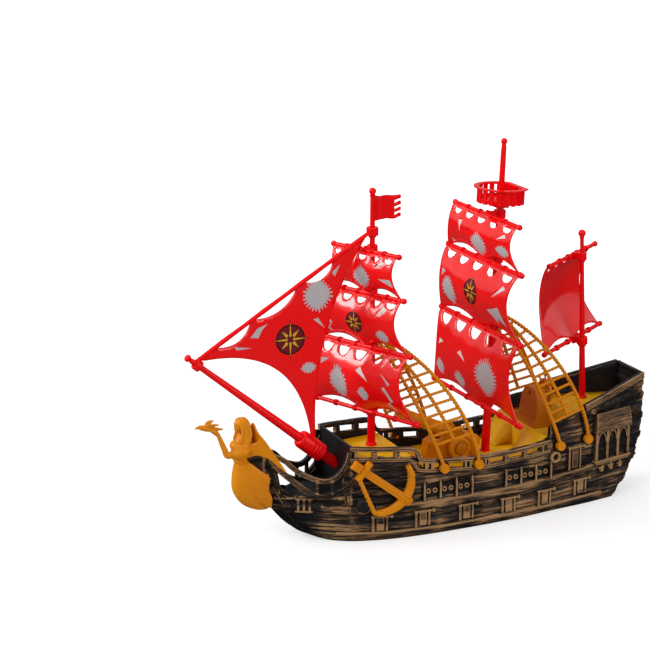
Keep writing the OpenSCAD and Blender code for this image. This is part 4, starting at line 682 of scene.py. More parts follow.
fore_deck = Shape()
deck_plate(fore_deck, FORE_DECK_RUN, FORE_DECK_Z)
mast_pad(fore_deck, FOREMAST_X, FORE_DECK_Z, (24, 28.8), (15, 16))
fore_deck.block((1.6, 57, 11.8), shifted(BREAK_X, 0, BREAK_Z))
for y in (-18, 0, 18):
    fore_deck.block((0.8, 10, 7), shifted(BREAK_X + 1, y, BREAK_Z))
new_piece("fore_deck", fore_deck, [deck_yellow], "hull", "deck_plastic", ["fore_deck"], bevel=0.35)

waist_deck = Shape()
deck_plate(waist_deck, WAIST_DECK_RUN, WAIST_DECK_Z)
waist_deck.lathe([(r, WAIST_DECK_Z + z) for r, z in MAST_RING], 32, shifted(MAINMAST_X, 0, 0))
new_piece("waist_deck", waist_deck, [deck_yellow], "hull", "deck_plastic", ["waist_deck"], bevel=0.3)

quarter = Shape()
route = [(x0 + (x1 - x0) * k / RAMP_STEPS, z0 + (z1 - z0) * k / RAMP_STEPS)
         for (x0, z0), (x1, z1) in zip(RAMP, RAMP[1:]) for k in range(RAMP_STEPS)] + RAMP[-1:]
rows = [(x, z, half_breadth(x, z) - WALL - 0.1) for x, z in route]
# Two strips of the slope beside the recess, the whole deck aft of it, then the recess with its upright back
beside = rows[:RECESS_STEPS + 1]
back_x, back_z, _ = beside[-1]
skins = []
for s in (-1, 1):
    skins.append([[(x, s * w, z), (x, s * RECESS_HALF, z)][::s] for x, z, w in beside])
    skins.append([[(x, s * w, z), (x, s * RECESS_HALF, z), (x, 0, z)][::s] for x, z, w in rows[RECESS_STEPS:]])
    skins.append([[(x, s * RECESS_HALF, WAIST_DECK_Z), (x, s * RECESS_HALF, z)][::-s] for x, z, _ in beside])
skins.append([[(x, s * RECESS_HALF, z) for s in (1, 0, -1)]
              for x, z in ((RAMP[0][0], WAIST_DECK_Z), (back_x, WAIST_DECK_Z), (back_x, back_z))])
for skin in skins:
    quarter.grid(skin, loop=False, caps=False)
quarter_deck = new_piece("quarter_deck", quarter, [deck_yellow], "hull", "deck_plastic", ["quarter_deck"], sharp=25)
welded = bmesh.new()
welded.from_mesh(quarter_deck.data)
bmesh.ops.remove_doubles(welded, verts=welded.verts, dist=1e-6)
welded.to_mesh(quarter_deck.data)
welded.free()
thicken(quarter_deck, DECK_T, -1)
pad = Shape()
mast_pad(pad, MIZZEN_X, POOP_DECK_Z, (26, 31.2), (15, 15))
new_piece("mizzen_pad", pad, [deck_yellow], "hull", "deck_plastic", bevel=0.35)


# Masts: three tapered red spars that plug into the decks, turned with a foot ring, a collar under
# each yard clip and a ball on top. The foremast carries a stiff little flag moulded in one with it.
ON_FORE = shifted(FOREMAST_X, 0, FORE_DECK_Z + 3.6)
ON_MAIN = shifted(MAINMAST_X, 0, WAIST_DECK_Z) @ turned(radians(2.5), "Y")
ON_MIZZEN = shifted(MIZZEN_X, 0, POOP_DECK_Z + 3.6) @ turned(radians(-2.2), "Y")
# Radius at the foot and at the top, height
FORE_SPAR, MAIN_SPAR, MIZZEN_SPAR = (2.5, 1.4, 153.9), (2.6, 2.03, 154), (2.1, 1.18, 104.4)
PLUG, COLLAR_BELOW, MAST_SIDES = -5, 3.6, 28
POLE_BALL_R, POLE_BALL_Z = 1.95, 193.8
red_plastic = moulded("glossy_red_plastic", "f6000a", "e20006", 0.26, shine=0.24)


def ball(r, centre, low, count):
    """Profile of a ball from an angle below its middle to its top."""
    return [(max(0.05, r * cos(a)), centre + r * sin(a)) for a in np.linspace(low, 1.5, count)]


def spar_radius(spar, z):
    foot_r, top_r, height = spar
    return foot_r + (top_r - foot_r) * z / height


def mast_profile(spar, collars, ball_r):
    """Radii and heights from the plug to the ball, with rings where the clips sit."""
    foot_r, top_r, height = spar
    profile = [(0.1, PLUG), (foot_r, PLUG), (foot_r, -0.1), (foot_r + 0.8, 0), (foot_r + 0.8, 1.1), (foot_r, 1.8)]
    for c in sorted(collars):
        r, low = spar_radius(spar, c), c - COLLAR_BELOW
        profile += [(r, low - 0.2), (r + 0.7, low), (r + 0.7, low + 0.9), (r, c - 2.6)]
    profile += [(top_r, height - 2.2), (top_r + 0.35, height - 1.6), (top_r + 0.35, height - 0.9)]
    return profile + ball(ball_r, height + ball_r * 0.6, -0.95, 9)


def two_ended(half, reach=0):
    """Profile with the same end below and above the middle."""
    return [(r, -reach - z) for r, z in half] + [(r, reach + z) for r, z in half[::-1]]


# Pegs athwart the masts hold the eyes of the nets
LUG = two_ended([(0.3, 6), (1.0, 5.8), (1.1, 5.4)])
# The mainmast goes on in a thin pole from where the crow's nest sits
POLE = [(2.03, 154), (1.9, 154.1), (1.75, 172), (1.6, 190), (1.4, 191.4)] + ball(POLE_BALL_R, POLE_BALL_Z, -0.8, 8)
main_profile = [(r, z) for r, z in mast_profile(MAIN_SPAR, [33.5, 81.5, 122.5, 150], POLE_BALL_R) if z < 153] + POLE
for name, profile, place, lug_z in (
        ("foremast", mast_profile(FORE_SPAR, [22.9, 62.9, 95.4, 120.9, 131.4], 2.15), ON_FORE, 69.4),
        ("mainmast", main_profile, ON_MAIN, 89),
        ("mizzenmast", mast_profile(MIZZEN_SPAR, [37.4, 91.4], 2.35), ON_MIZZEN, None)):
    mast = Shape()
    mast.lathe(profile, MAST_SIDES, place)
    if lug_z:
        mast.lathe(LUG, 16, place @ shifted(0, 0, lug_z) @ FACE_OUT)
    new_piece(name, mast, [red_plastic], "hull", "red_plastic", [name])


def inside(loop, points):
    """Which of the points lie in a closed outline."""
    loop = np.asarray(loop)
    x, y = np.asarray(points).T
    found = np.zeros(len(x), bool)
    for (x0, y0), (x1, y1) in zip(loop, np.roll(loop, -1, axis=0)):
        if y0 != y1:
            found ^= ((y > y0) != (y > y1)) & (x < x0 + (y - y0) * (x1 - x0) / (y1 - y0))
    return found


def cut_sheet(outline, holes, prints, step):
    """Triangulates a flat outline with holes; prints are pairs of outline and material number."""
    points = []
    edges = []
    for loop in [outline] + holes + [loop for loop, _ in prints]:
        start = len(points)
        points += [Vector(p) for p in loop]
        edges += [(start + i, start + (i + 1) % len(loop)) for i in range(len(loop))]
    rim = np.array([tuple(p) for p in points])
    low, high = rim.min(0), rim.max(0)
    rows = np.arange(low[1] + step / 2, high[1], step * 0.87)
    fill = np.array([(x + step / 2 * (i % 2), y) for i, y in enumerate(rows)
                     for x in np.arange(low[0], high[0], step)])
    far = np.array([((rim - p) ** 2).sum(1).min() > (0.45 * step) ** 2 for p in fill])
    points += [Vector(p) for p in fill[far & inside(outline, fill)]]
    made = delaunay_2d_cdt(points, edges, [], 0, 1e-4)
    spots = [tuple(p) for p in made[0]]
    faces = [tuple(f) for f in made[2]]
    middles = np.array([np.mean([spots[i] for i in f], axis=0) for f in faces])
    keep = inside(outline, middles)
    for loop in holes:
        keep &= ~inside(loop, middles)
    inks = np.zeros(len(faces), int)
    for loop, ink in prints:
        inks[inside(loop, middles)] = ink
    return spots, [f for f, k in zip(faces, keep) if k], inks[keep]


def new_sheet(name, sheet, bend, materials, body, slot, nodes, thickness, flip):
    """Bends a cut sheet into space; the back of a printed sheet stays plain."""
    spots, faces, inks = sheet
    shape = Shape()
    shape.add([bend(*spot) for spot in spots], [tuple(reversed(f)) if flip else f for f in faces])
    made = new_piece(name, shape, materials, body, slot, nodes, sharp=60)
    made.data.polygons.foreach_set("material_index", [int(i) for i in inks])
    thicken(made, thickness, 0, -len(materials))


FLAG_L, FLAG_H, FLAG_T, FLAG_Z = 17, 14, 1.0, 137.4
TAILS, TAIL_PITCH, TAIL_HALF, NOTCH = 4, 3.6, 1.05, 4.6
tips = []
for k in range(TAILS):
    low = 0.1 + k * TAIL_PITCH
    tips += [(FLAG_L - NOTCH, low + 0.2)] if k else []
    tips += [(FLAG_L - 1 + 0.5 * cos(a) + 0.5, low + TAIL_HALF + TAIL_HALF * sin(a))
             for a in np.linspace(-1.4, 1.4, 6)]
    tips += [(FLAG_L - NOTCH, low + 1.9)] if k < TAILS - 1 else []
foot = [(x, 0) for x in (0, 4, 8, 11)]
flag_outline = foot + tips + [(x, FLAG_H) for x, _ in foot[::-1]]


def wave(u, v):
    return ON_FORE @ Vector((1.0 + u, 1.3 * sin(tau * u / FLAG_L), FLAG_Z + v + 0.07 * u + 0.35 * sin(u * 0.9)))


new_sheet("flag", cut_sheet(flag_outline, [], [], 0.9), wave, [red_plastic], "hull", "red_plastic", (), FLAG_T, True)


# Crow's nest: a red basket of upright staves between a floor and a flanged rim, with a flat after
# side, moulded in one and pushed down over the pole of the mainmast.
NEST_AT = ON_MAIN @ shifted(0, 0, MAIN_SPAR[2])
STAVE_PITCH, STAVE_R, STAVE_FLAT, STAVE_Z = 4.5, 13.8, 9.4, 7.6
STAVE_T, STAVE_W, STAVE_H = 1.3, 2.9, 9.6
# Hoops: outer and inner width with the place of the flat, then low and high
HOOPS = [((28.4, 9.9), (26.4, 8.8), 3.4, 6.0), ((28.2, 9.9), (26.8, 9.0), 11.3, 12.1),
         ((33.4, 12.4), (27.0, 9.1), 11.9, 12.7)]


def nest_outline(d, flat):
    """Circle cut off straight on its after side."""
    a0 = acos(2 * flat / d)
    return [(d / 2 * cos(a), d / 2 * sin(a)) for a in np.linspace(a0, tau - a0, 48)]


def applied(carrier):
    """The mesh that an object's modifiers make of it; the object itself goes."""
    made = bpy.data.meshes.new_from_object(carrier.evaluated_get(bpy.context.evaluated_depsgraph_get()))
    bpy.data.objects.remove(carrier)
    return made


def run_tree(tree, points, edges=(), **values):
    """Runs a geometry tree on points given in millimetres and returns the plain mesh."""
    base = bpy.data.meshes.new("base")
    base.from_pydata([Vector(p) * MM for p in points], edges, [])
    carrier = placed_object("carrier", base)
    modifier = carrier.modifiers.new("tree", "NODES")
    modifier.node_group = tree
    for item in tree.interface.items_tree:
        if item.in_out == "INPUT" and item.name in values:
            modifier[item.identifier] = values[item.name]
    made = applied(carrier)
    bpy.data.meshes.remove(base)
    return made


def new_tree(name, **inputs):
    """Empty geometry tree with a mesh input and named number inputs, and the outputs that give them."""
    tree = bpy.data.node_groups.new(name, "GeometryNodeTree")
    tree.interface.new_socket("Geometry", in_out="INPUT", socket_type="NodeSocketGeometry")
    for key, value in inputs.items():
        tree.interface.new_socket(key, in_out="INPUT", socket_type="NodeSocketFloat").default_value = value
    tree.interface.new_socket("Geometry", in_out="OUTPUT", socket_type="NodeSocketGeometry")
    return tree, tree.nodes.new("NodeGroupInput").outputs


def close_tree(tree, geometry, material):
    """Ends a tree with real geometry in one material."""
    real = add_node(tree, "GeometryNodeRealizeInstances", {0: geometry})
    smooth = add_node(tree, "GeometryNodeSetShadeSmooth", {0: real})
    painted = add_node(tree, "GeometryNodeSetMaterial", {0: smooth, "Material": material})
    add_node(tree, "NodeGroupOutput", {0: painted})


def on_points(tree, points, instance, rotation, material):
    """Ends a tree with one form set on every point."""
    close_tree(tree, add_node(tree, "GeometryNodeInstanceOnPoints", {"Points": points, "Instance": instance,
                                                                     "Rotation": rotation}), material)


def facing_out(tree, tip=0.0):
    """Turn of each point away from the middle, after a tip over."""
    spot = add_node(tree, "ShaderNodeSeparateXYZ", {0: add_node(tree, "GeometryNodeInputPosition")}).outputs
    turn = add_node(tree, "ShaderNodeMath", {0: spot[1], 1: spot[0]}, operation="ARCTAN2")
    return add_node(tree, "ShaderNodeCombineXYZ", {"Y": tip, "Z": turn})


def moved(mesh, place):
    """The mesh, which is in metres, moved to a place in millimetres."""
    mesh.transform(Matrix.Translation(place.to_translation() * MM) @ place.to_3x3().to_4x4())
    return mesh


# Staves: a flat upright on each point, turned to face out
stave_tree, given = new_tree("nest_staves", Height=STAVE_H * MM, Width=STAVE_W * MM, Thickness=STAVE_T * MM)
size = add_node(stave_tree, "ShaderNodeCombineXYZ", {"X": given["Thickness"], "Y": given["Width"],
                                                    "Z": given["Height"]})
board = add_node(stave_tree, "GeometryNodeMeshCube", {"Size": size})
on_points(stave_tree, given[0], board, facing_out(stave_tree), red_plastic)
flat_start = acos(STAVE_FLAT / STAVE_R)
sweep = tau - 2 * flat_start
count = round(STAVE_R * sweep / STAVE_PITCH)
round_points = [(STAVE_R * cos(a), STAVE_R * sin(a), STAVE_Z)
                for a in (flat_start + sweep * k / count for k in range(count + 1))]
finish_piece("nest_staves", moved(run_tree(stave_tree, round_points), NEST_AT), [red_plastic], "hull", "red_plastic",
             bevel=0.25)
flat_staves = Shape()
for k in (-1.5, -0.5, 0.5, 1.5):
    flat_staves.block((STAVE_T, STAVE_W, STAVE_H), NEST_AT @ shifted(STAVE_FLAT + 0.1, k * STAVE_PITCH, STAVE_Z))
new_piece("nest_after_staves", flat_staves, [red_plastic], "hull", "red_plastic", bevel=0.25)

nest = Shape()
nest.block((8, 8, 3.6), NEST_AT @ shifted(0, 0, 1.8))
nest.prism(nest_outline(27.6, 9.5), 3.4, 4.6, NEST_AT)
for outer, inner, low, high in HOOPS:
    around_hoop = ((outer, low), (outer, high), (inner, high), (inner, low), (outer, low))
    nest.grid([[(x, y, z) for x, y in nest_outline(*loop)] for loop, z in around_hoop], NEST_AT, caps=False)
new_piece("crows_nest", nest, [red_plastic], "hull", "red_plastic", ["crows_nest"], bevel=0.3)


# Bowsprit: a red spar through the beak into a socket in the hull, with a ribbed collar that grips
# the tack of the jib and a knob at its tip.
SPRIT_HEEL, SPRIT_TIP = Vector((-73, 0, 36)), Vector((-173, 0, 118.5))
SPRIT_L = (SPRIT_TIP - SPRIT_HEEL).length
SPRIT_R, TIP_R, COLLAR_AT, RIB_PITCH = 3.2, 1.6, 20.6, 1.9
RIB = [(1.75, 0), (2.3, 0.4), (2.45, 0.95), (2.3, 1.5)]
# Radius over the spar and height over the collar's foot; radius over the tip's and height over the tip
SLEEVE = [(1.75, 7.6), (1.9, 8.2), (2.3, 8.6), (2.3, 16), (1.8, 17.4), (1.2, 17.9), (-0.4, 18.1)]
KNOB = [(0.05, -4.6), (-0.4, -3.4), (0.5, -2.0), (0.6, -1.0), (0.1, -0.2)]
ALONG_SPRIT = (Matrix.Translation(SPRIT_HEEL) @ turned(pi, "Z")
               @ turned(acos((SPRIT_TIP - SPRIT_HEEL).z / SPRIT_L), "Y"))

profile = [(0.1, 1.6), (SPRIT_R, 1.7), (SPRIT_R, COLLAR_AT - 0.3)]
profile += [(SPRIT_R + r, COLLAR_AT + RIB_PITCH * k + z) for k in range(4) for r, z in RIB]
profile += [(SPRIT_R + r, COLLAR_AT + z) for r, z in SLEEVE]
profile += [(TIP_R + r, SPRIT_L + z) for r, z in KNOB] + [(0.1, SPRIT_L + 0.1)]
sprit = Shape()
sprit.lathe(profile, 36, ALONG_SPRIT)
new_piece("bowsprit", sprit, [red_plastic], "hull", "red_plastic", ["bowsprit"])


# Yards: red spars before each mast, turned with knobs at their ends. A bracket and a clip ring hold each
# on its mast so that it swings, and moulded lashings go round it between the holes of the sail.
YARD_R = 1.3
YARD_END = [(0.2, 1.8), (1.3, 1.4), (1.75, 0.6), (1.75, -0.5), (1.35, -1.4), (YARD_R - 0.15, -1.9), (YARD_R, -3.2)]
# Mast with its swing and its spar, reach and body, then height above the mast's foot and half length of each yard
RIGS = {
    "fore": (ON_FORE @ turned(radians(23), "Z"), FORE_SPAR, 5.5, "fore_sails",
             [(120.9, 25.5), (95.4, 29.5), (62.9, 35), (22.9, 41)]),
    "main": (ON_MAIN @ turned(radians(1), "Z"), MAIN_SPAR, 9, "main_sails",
             [(150, 39), (122.5, 45), (81.5, 49.5), (33.5, 54)]),
    "mizzen": (ON_MIZZEN @ turned(radians(-57.5), "Z"), MIZZEN_SPAR, 6.5, "mizzen_sails",
               [(91.4, 30.5), (37.4, 37.5)])}
HOLE_PITCH, HOLE_SHARE = 0.38, 0.31
LASH_PITCH = 0.8


def clip(bore, wall, bevelled, near, far):
    """Section of a ring round a bore: its wall, what the bevel leaves of it, and the half heights of both."""
    return [(bore + wall, -near), (bore + wall, near), (bore + bevelled, far), (bore, far), (bore, -far),
            (bore + bevelled, -far)]


# Lashings: three thin turns round the yard at each tie
lash_tree, given = new_tree("yard_lashings", Radius=0.00155, Strand=0.00038)
big = add_node(lash_tree, "GeometryNodeCurvePrimitiveCircle", {"Resolution": 16, "Radius": given["Radius"]})
small = add_node(lash_tree, "GeometryNodeCurvePrimitiveCircle", {"Resolution": 6, "Radius": given["Strand"]})
turn_of_rope = add_node(lash_tree, "GeometryNodeCurveToMesh", {"Curve": big, "Profile Curve": small})
on_points(lash_tree, given[0], turn_of_rope, (pi / 2, 0, 0), red_plastic)

for rig, (mast, spar, reach, body, spars) in RIGS.items():
    for k, (height, half) in enumerate(spars):
        place = mast @ shifted(0, 0, height)
        before = place @ shifted(-reach, 0, 0)
        bore = spar_radius(spar, height - 2.5) + 0.05
        yard = Shape()
        yard.lathe(two_ended(YARD_END, half), 20, before @ turned(-pi / 2, "X"))
        yard.block((reach - bore + 0.6, 3.0, 3.6), place @ shifted(-(reach + bore) / 2, 0, 0))
        yard.block((1.6, 5.2, 4.4), place @ shifted(-reach + 1.4, 0, 0))
        yard.ring(clip(bore, 1.5, 1.2, 2.2, 2.5), 28, place)
        name = f"{rig}_yard_{k + 1}"
        new_piece(name, yard, [red_plastic], body, "red_plastic", [name], bevel=0.2)
        ties = [s * (0.5 + j) * HOLE_PITCH * half for s in (-1, 1) for j in range(3)]
        turns = [(0, y + d, 0) for y in ties if abs(y) < half - 2 for d in (-LASH_PITCH, 0, LASH_PITCH)]
        lashings = moved(run_tree(lash_tree, turns), before)
        finish_piece(name + "_lashings", lashings, [red_plastic], body, "red_plastic")


# Square sails: stiff red plastic sheets moulded with a belly, hollow sides, an arched foot and half-round
# holes under the yard. Grey patches, rents and bolts are printed on the front; the back is plain.
SAIL_T = 0.8
FOOT_ARCH, SIDE_HOLLOW, SIDE_GAP, HEAD_BAND = 4.8, 0.12, 0.9, 2.2
RIM_STEPS, HOLE_STEPS, BOLT_HALF, SAIL_MESH = 49, 13, 0.9, 1.5
# Belly and hole depth of each sail
SAILS = {"fore": [(5.2, 2.7), (8, 3.1), (9, 5.0)], "main": [(6.5, 2.9), (9.5, 4.1), (6, 6.2)],
         "mizzen": [(12.5, 3.6)]}
# Prints: kind, then place across (to port) and down as shares, then half width and half height in millimetres
PRINTS = {
    "fore_sail_1": [("patch", 0.03, 0.58, 6.2, 6.3), ("patch", -0.62, 0.72, 3.0, 2.6),
                    ("rent", (0.44, 0.33), (0.63, 0.15), (0.79, 0.19)),
                    ("slip", (0.56, 0.57), (0.93, 0.53), (0.96, 0.71))],
    "fore_sail_2": [("patch", 0.6, 0.73, 4.6, 4.2), ("rent", (0.51, 0.33), (0.65, 0.14), (0.77, 0.19)),
                    ("bolt", (-0.78, 0.44), (-0.86, 0.6), (-0.76, 0.66), (-0.84, 0.8), (-0.76, 0.86), (-0.86, 0.95)),
                    ("rose", -0.08, 0.52, 8.6)],
    "fore_sail_3": [("patch", -0.44, 0.6, 7.2, 10.5), ("patch", 0.14, 0.68, 4.0, 4.6),
                    ("rent", (0.0, 0.33), (0.1, 0.26), (0.3, 0.46)),
                    ("slip", (-0.93, 0.29), (-0.7, 0.26), (-0.93, 0.38)),
                    ("bolt", (0.58, 0.28), (0.77, 0.44), (0.64, 0.5), (0.76, 0.72), (0.64, 0.77), (0.74, 0.93))],
    "main_sail_1": [("patch", 0.05, 0.63, 9.0, 6.6), ("patch", 0.76, 0.6, 7.4, 3.4),
                    ("rent", (-0.64, 0.29), (-0.52, 0.25), (-0.56, 0.53)),
                    ("rent", (0.61, 0.37), (0.8, 0.22), (0.86, 0.28)),
                    ("slip", (-0.86, 0.8), (-0.76, 0.9), (-0.84, 0.94))],
    "main_sail_2": [("patch", -0.66, 0.62, 9.5, 9.0), ("rent", (0.63, 0.41), (0.83, 0.2), (0.9, 0.24)),
                    ("slip", (-0.92, 0.32), (-0.78, 0.34), (-0.92, 0.44)),
                    ("slip", (0.48, 0.64), (0.78, 0.53), (0.88, 0.8), (0.72, 0.72), (0.66, 0.83)),
                    ("rose", 0.06, 0.46, 10.5)],
    "main_sail_3": [("patch", 0.43, 0.58, 12.5, 11.5), ("patch", -0.84, 0.76, 5.2, 5.0),
                    ("patch", -0.3, 0.82, 7.0, 5.0),
                    ("rent", (-0.92, 0.45), (-0.9, 0.37), (-0.78, 0.39)),
                    ("rent", (-0.34, 0.43), (-0.25, 0.38), (-0.12, 0.5))]}
# Numbers of the inks in the list of materials
GREY, PALE, BLACK, MAROON, YELLOW = 1, 2, 3, 4, 5


def frayed(x, y, rx, ry, seed):
    """Outline of a cloth patch whose threads stand out all round."""
    draw = random.Random(seed)
    threads = int(6 + rx + ry)
    loop = []
    for i in range(threads):
        long = 1.0 + 0.14 * draw.random()
        for share, reach in ((0.0, 0.84), (0.14, long), (0.5, long - 0.02), (0.62, 0.84)):
            a = tau * (i + share) / threads
            square = 0.93 + 0.05 * cos(4 * a)
            loop.append((x + rx * square * reach * cos(a), y + ry * square * reach * sin(a)))
    return loop


def bolt(points, width):
    """Zigzag rent that thins out to both ends."""
    left, right = [], []
    for i, (x, y) in enumerate(points):
        w = 0 if i in (0, len(points) - 1) else width
        left.append((x - w, y + 0.5 * w))
        right.append((x + w, y - 0.5 * w))
    return left + right[-2:0:-1]


def compass_rose(x, y, r):
    """Pairs of outline and material number for a plain eight-pointed rose on a dark disc."""
    def star(long, short, turn):
        reach = [r * long, r * short] * 4
        angles = [pi * i / 4 + turn for i in range(8)]
        return [(x + out * sin(a), y + out * cos(a)) for out, a in zip(reach, angles)]

    def disc(size):
        return [(x + dx, y + dy) for dx, dy in round_section(r * size, 28)]

    return [(disc(0.74), BLACK), (disc(0.66), MAROON), (star(0.62, 0.16, pi / 4), YELLOW), (star(1, 0.18, 0), BLACK),
            (star(0.86, 0.1, 0), YELLOW), (disc(0.15), MAROON)]


def ink(name, colour, shade, roughness):
    """Screen-printed ink: a thin satin film, uneven where the plastic shows through."""
    return moulded(name, colour, shade, roughness, grain_mm=0.5, bump=0.05, cloud_mm=5.0)


sail_red = moulded("translucent_red_sheet", "ff0004", "f60004", 0.2, grain_mm=0.6, bump=0.04, transmission=0.06,
                   cloud_mm=40.0, shine=0.5)
feed_shader(sail_red, {"Coat Weight": 0.7, "Coat Roughness": 0.12})
PRINTED = [sail_red, ink("grey_ink", "bdb9bb", "a9a5a8", 0.4), ink("pale_grey_ink", "e6e2dc", "d2cdc8", 0.4),
           ink("black_ink", "2a1216", "1a0c10", 0.35), ink("maroon_ink", "7a1020", "5e0a18", 0.35),
           ink("yellow_ink", "e0a818", "c98f10", 0.4)]

for rig, sails in SAILS.items():
    mast, _, reach, body, spars = RIGS[rig]
    for k, (belly, hole) in enumerate(sails):
        (top_z, top_half), (low_z, low_half) = spars[k], spars[k + 1]
        drop = top_z - low_z
        pitch = HOLE_PITCH * top_half
        place = mast @ shifted(0, 0, top_z)
        name = f"{rig}_sail_{k + 1}" if len(sails) > 1 else f"{rig}_sail"

        def half_at(t):
            return top_half + (low_half - top_half) * t - SIDE_GAP - SIDE_HOLLOW * drop * sin(pi * t)

        def at(s, t):
            """Place across and up for a share to port and a share down."""
            return -s * half_at(t), -drop * t + FOOT_ARCH * sin(pi * min(1, abs(s))) * t ** 4

        def bend(y, z):
            """Point of the moulded sail for a place on the flat one."""
            t = -z / drop
            for _ in range(12):
                s = min(1, abs(y) / half_at(min(max(t, 0), 1)))
                t = (-z + FOOT_ARCH * sin(pi * s) * min(max(t, 0), 1) ** 4) / drop
            t = min(max(t, 0), 1)
            out = belly * max(0, sin(pi * t ** 0.85)) ** 0.9 * (1 - 0.3 * s * s)
            # Gathers run down from the ties between the holes, and the side edges are beaded
            pleat = 0.55 * (cos(tau * (y / pitch)) - 0.4) * exp(-t * 6) * min(1, t * 14)
            fine = 0.16 * sin(y * 2.6) * exp(-t * 9) * min(1, t * 14)
            bead = 0.3 * exp(-((1 - s) * half_at(t) / 0.9) ** 2)
            return place @ Vector((-reach - out + pleat + fine - bead, y, z))

        steps = np.linspace(0, 1, RIM_STEPS)
        outline = [at(1 - 2 * f, 0) for f in steps] + [at(-1, f) for f in steps[1:]]
        outline += [at(-1 + 2 * f, 1) for f in steps[1:]] + [at(1, 1 - f) for f in steps[1:-1]]
        holes = [[(i * pitch + pitch * HOLE_SHARE * cos(a), -HEAD_BAND + hole * sin(a))
                  for a in np.linspace(pi, tau, HOLE_STEPS)] for i in range(-2, 3)]
        prints = []
        for n, (kind, *spec) in enumerate(PRINTS.get(name, [])):
            if kind == "patch":
                prints.append((frayed(*at(*spec[:2]), *spec[2:], name + str(n)), GREY))
            elif kind == "rose":
                prints += compass_rose(*at(*spec[:2]), spec[2])
            else:
                loop = [at(*p) for p in spec]
                prints.append((bolt(loop, BOLT_HALF) if kind == "bolt" else loop, PALE if kind == "rent" else GREY))
        new_sheet(name, cut_sheet(outline, holes, prints, SAIL_MESH), bend, PRINTED, body, "sail_plastic", [name],
                  SAIL_T, True)


# Jib: a flat red plate along the stay from the bowsprit to the foremast, cut away in scallops behind the
# stay and hollow at its foot and after edge, printed on its port side with patches and a compass rose.
JIB_T, JIB_MESH, STAY_R = 1.2, 1.8, 1.2
STAY_LOW, STAY_TOP = Vector((-166, 115.5)), Vector((-57, 181))
LUFF_TOP = STAY_TOP - Vector((2, 1))
TACK_X, TACK_Z, TACK_HALF, TACK_DROP = -94, 61, 1.4, 5
LEECH_HOLLOW, FOOT_HOLLOW = -10.5, -19.5
# Start and length of each scallop as shares of the luff
SCALLOPS = [(0.11, 0.19), (0.33, 0.24), (0.62, 0.17)]
SCALLOP_DEEP = 4.8
RING_BORE, RING_Z, EYE_BORE, EYE_BACK = 1.68, 181, TIP_R + 0.4, 9
# Patches: place, half width, half height and the seed of their threads
JIB_PATCHES = [(-91.3, 146.4, 9.2, 10.0, "jib"), (-97, 103.1, 4.9, 3.4, "tack")]
JIB_SLIPS = [[(-76.9, 163.4), (-82.2, 159), (-80.3, 156.4)], [(-94, 132), (-91, 132.7), (-86.7, 126.1)],
             [(-133.6, 125.3), (-129, 130.5), (-122.7, 132.6), (-126, 129.4), (-128.6, 124.6)],
             [(-143.6, 121), (-142, 118.8), (-132.8, 119.1)]]


def bow(p, q, sag, steps):
    """Arc between two points that bends to the left by its sag."""
    p, q = Vector(p), Vector(q)
    side = Vector((p.y - q.y, q.x - p.x)).normalized()
    return [tuple(p.lerp(q, t) + side * sag * 4 * t * (1 - t)) for t in np.linspace(0, 1, steps)]


luff = LUFF_TOP - STAY_LOW
down = Vector((luff.y, -luff.x)).normalized()
outline = bow(STAY_LOW, LUFF_TOP, 0, 60)
outline += bow(LUFF_TOP, (TACK_X + TACK_HALF, TACK_Z), LEECH_HOLLOW, 40)[1:]
outline += [(TACK_X + TACK_HALF, TACK_Z - TACK_DROP), (TACK_X - TACK_HALF, TACK_Z - TACK_DROP)]
outline += bow((TACK_X - TACK_HALF, TACK_Z), STAY_LOW + Vector((5, -0.5)), FOOT_HOLLOW, 40)
holes = []
for start, length in SCALLOPS:
    a, b = (STAY_LOW + luff * share + down * STAY_R for share in (start, start + length))
    holes.append(bow(a, b, -SCALLOP_DEEP, 18))
prints = [(frayed(*patch), GREY) for patch in JIB_PATCHES] + [(loop, GREY) for loop in JIB_SLIPS]
prints += compass_rose(-108.5, 121.5, 12.5)
new_sheet("jib", cut_sheet(outline, holes, prints, JIB_MESH), lambda x, z: Vector((x, 0, z)), PRINTED, "hull",
          "sail_plastic", ["jib"], JIB_T, False)

stay = Shape()
low, high = (Vector((p.x, 0, p.y)) for p in (STAY_LOW, STAY_TOP))
along_stay = Matrix.Translation(low) @ (high - low).to_track_quat("Z", "Y").to_matrix().to_4x4()
stay_l = (high - low).length
lumps = [(STAY_R + 0.25 * (i % 2), stay_l * f) for i, f in enumerate(np.linspace(0.03, 0.97, 9))]
stay.lathe([(STAY_R * 0.5, -0.5), (STAY_R, 0)] + lumps + [(STAY_R, stay_l)], 16, along_stay)
stay.ring(clip(RING_BORE, 1.9, 1.5, 2.2, 2.5), 28, shifted(FOREMAST_X, 0, RING_Z))
stay.ring(clip(EYE_BORE, 1.4, 1.1, 1.7, 2.0), 24, ALONG_SPRIT @ shifted(0, 0, SPRIT_L - EYE_BACK))
new_piece("jib_stay", stay, [red_plastic], "hull", "red_plastic")


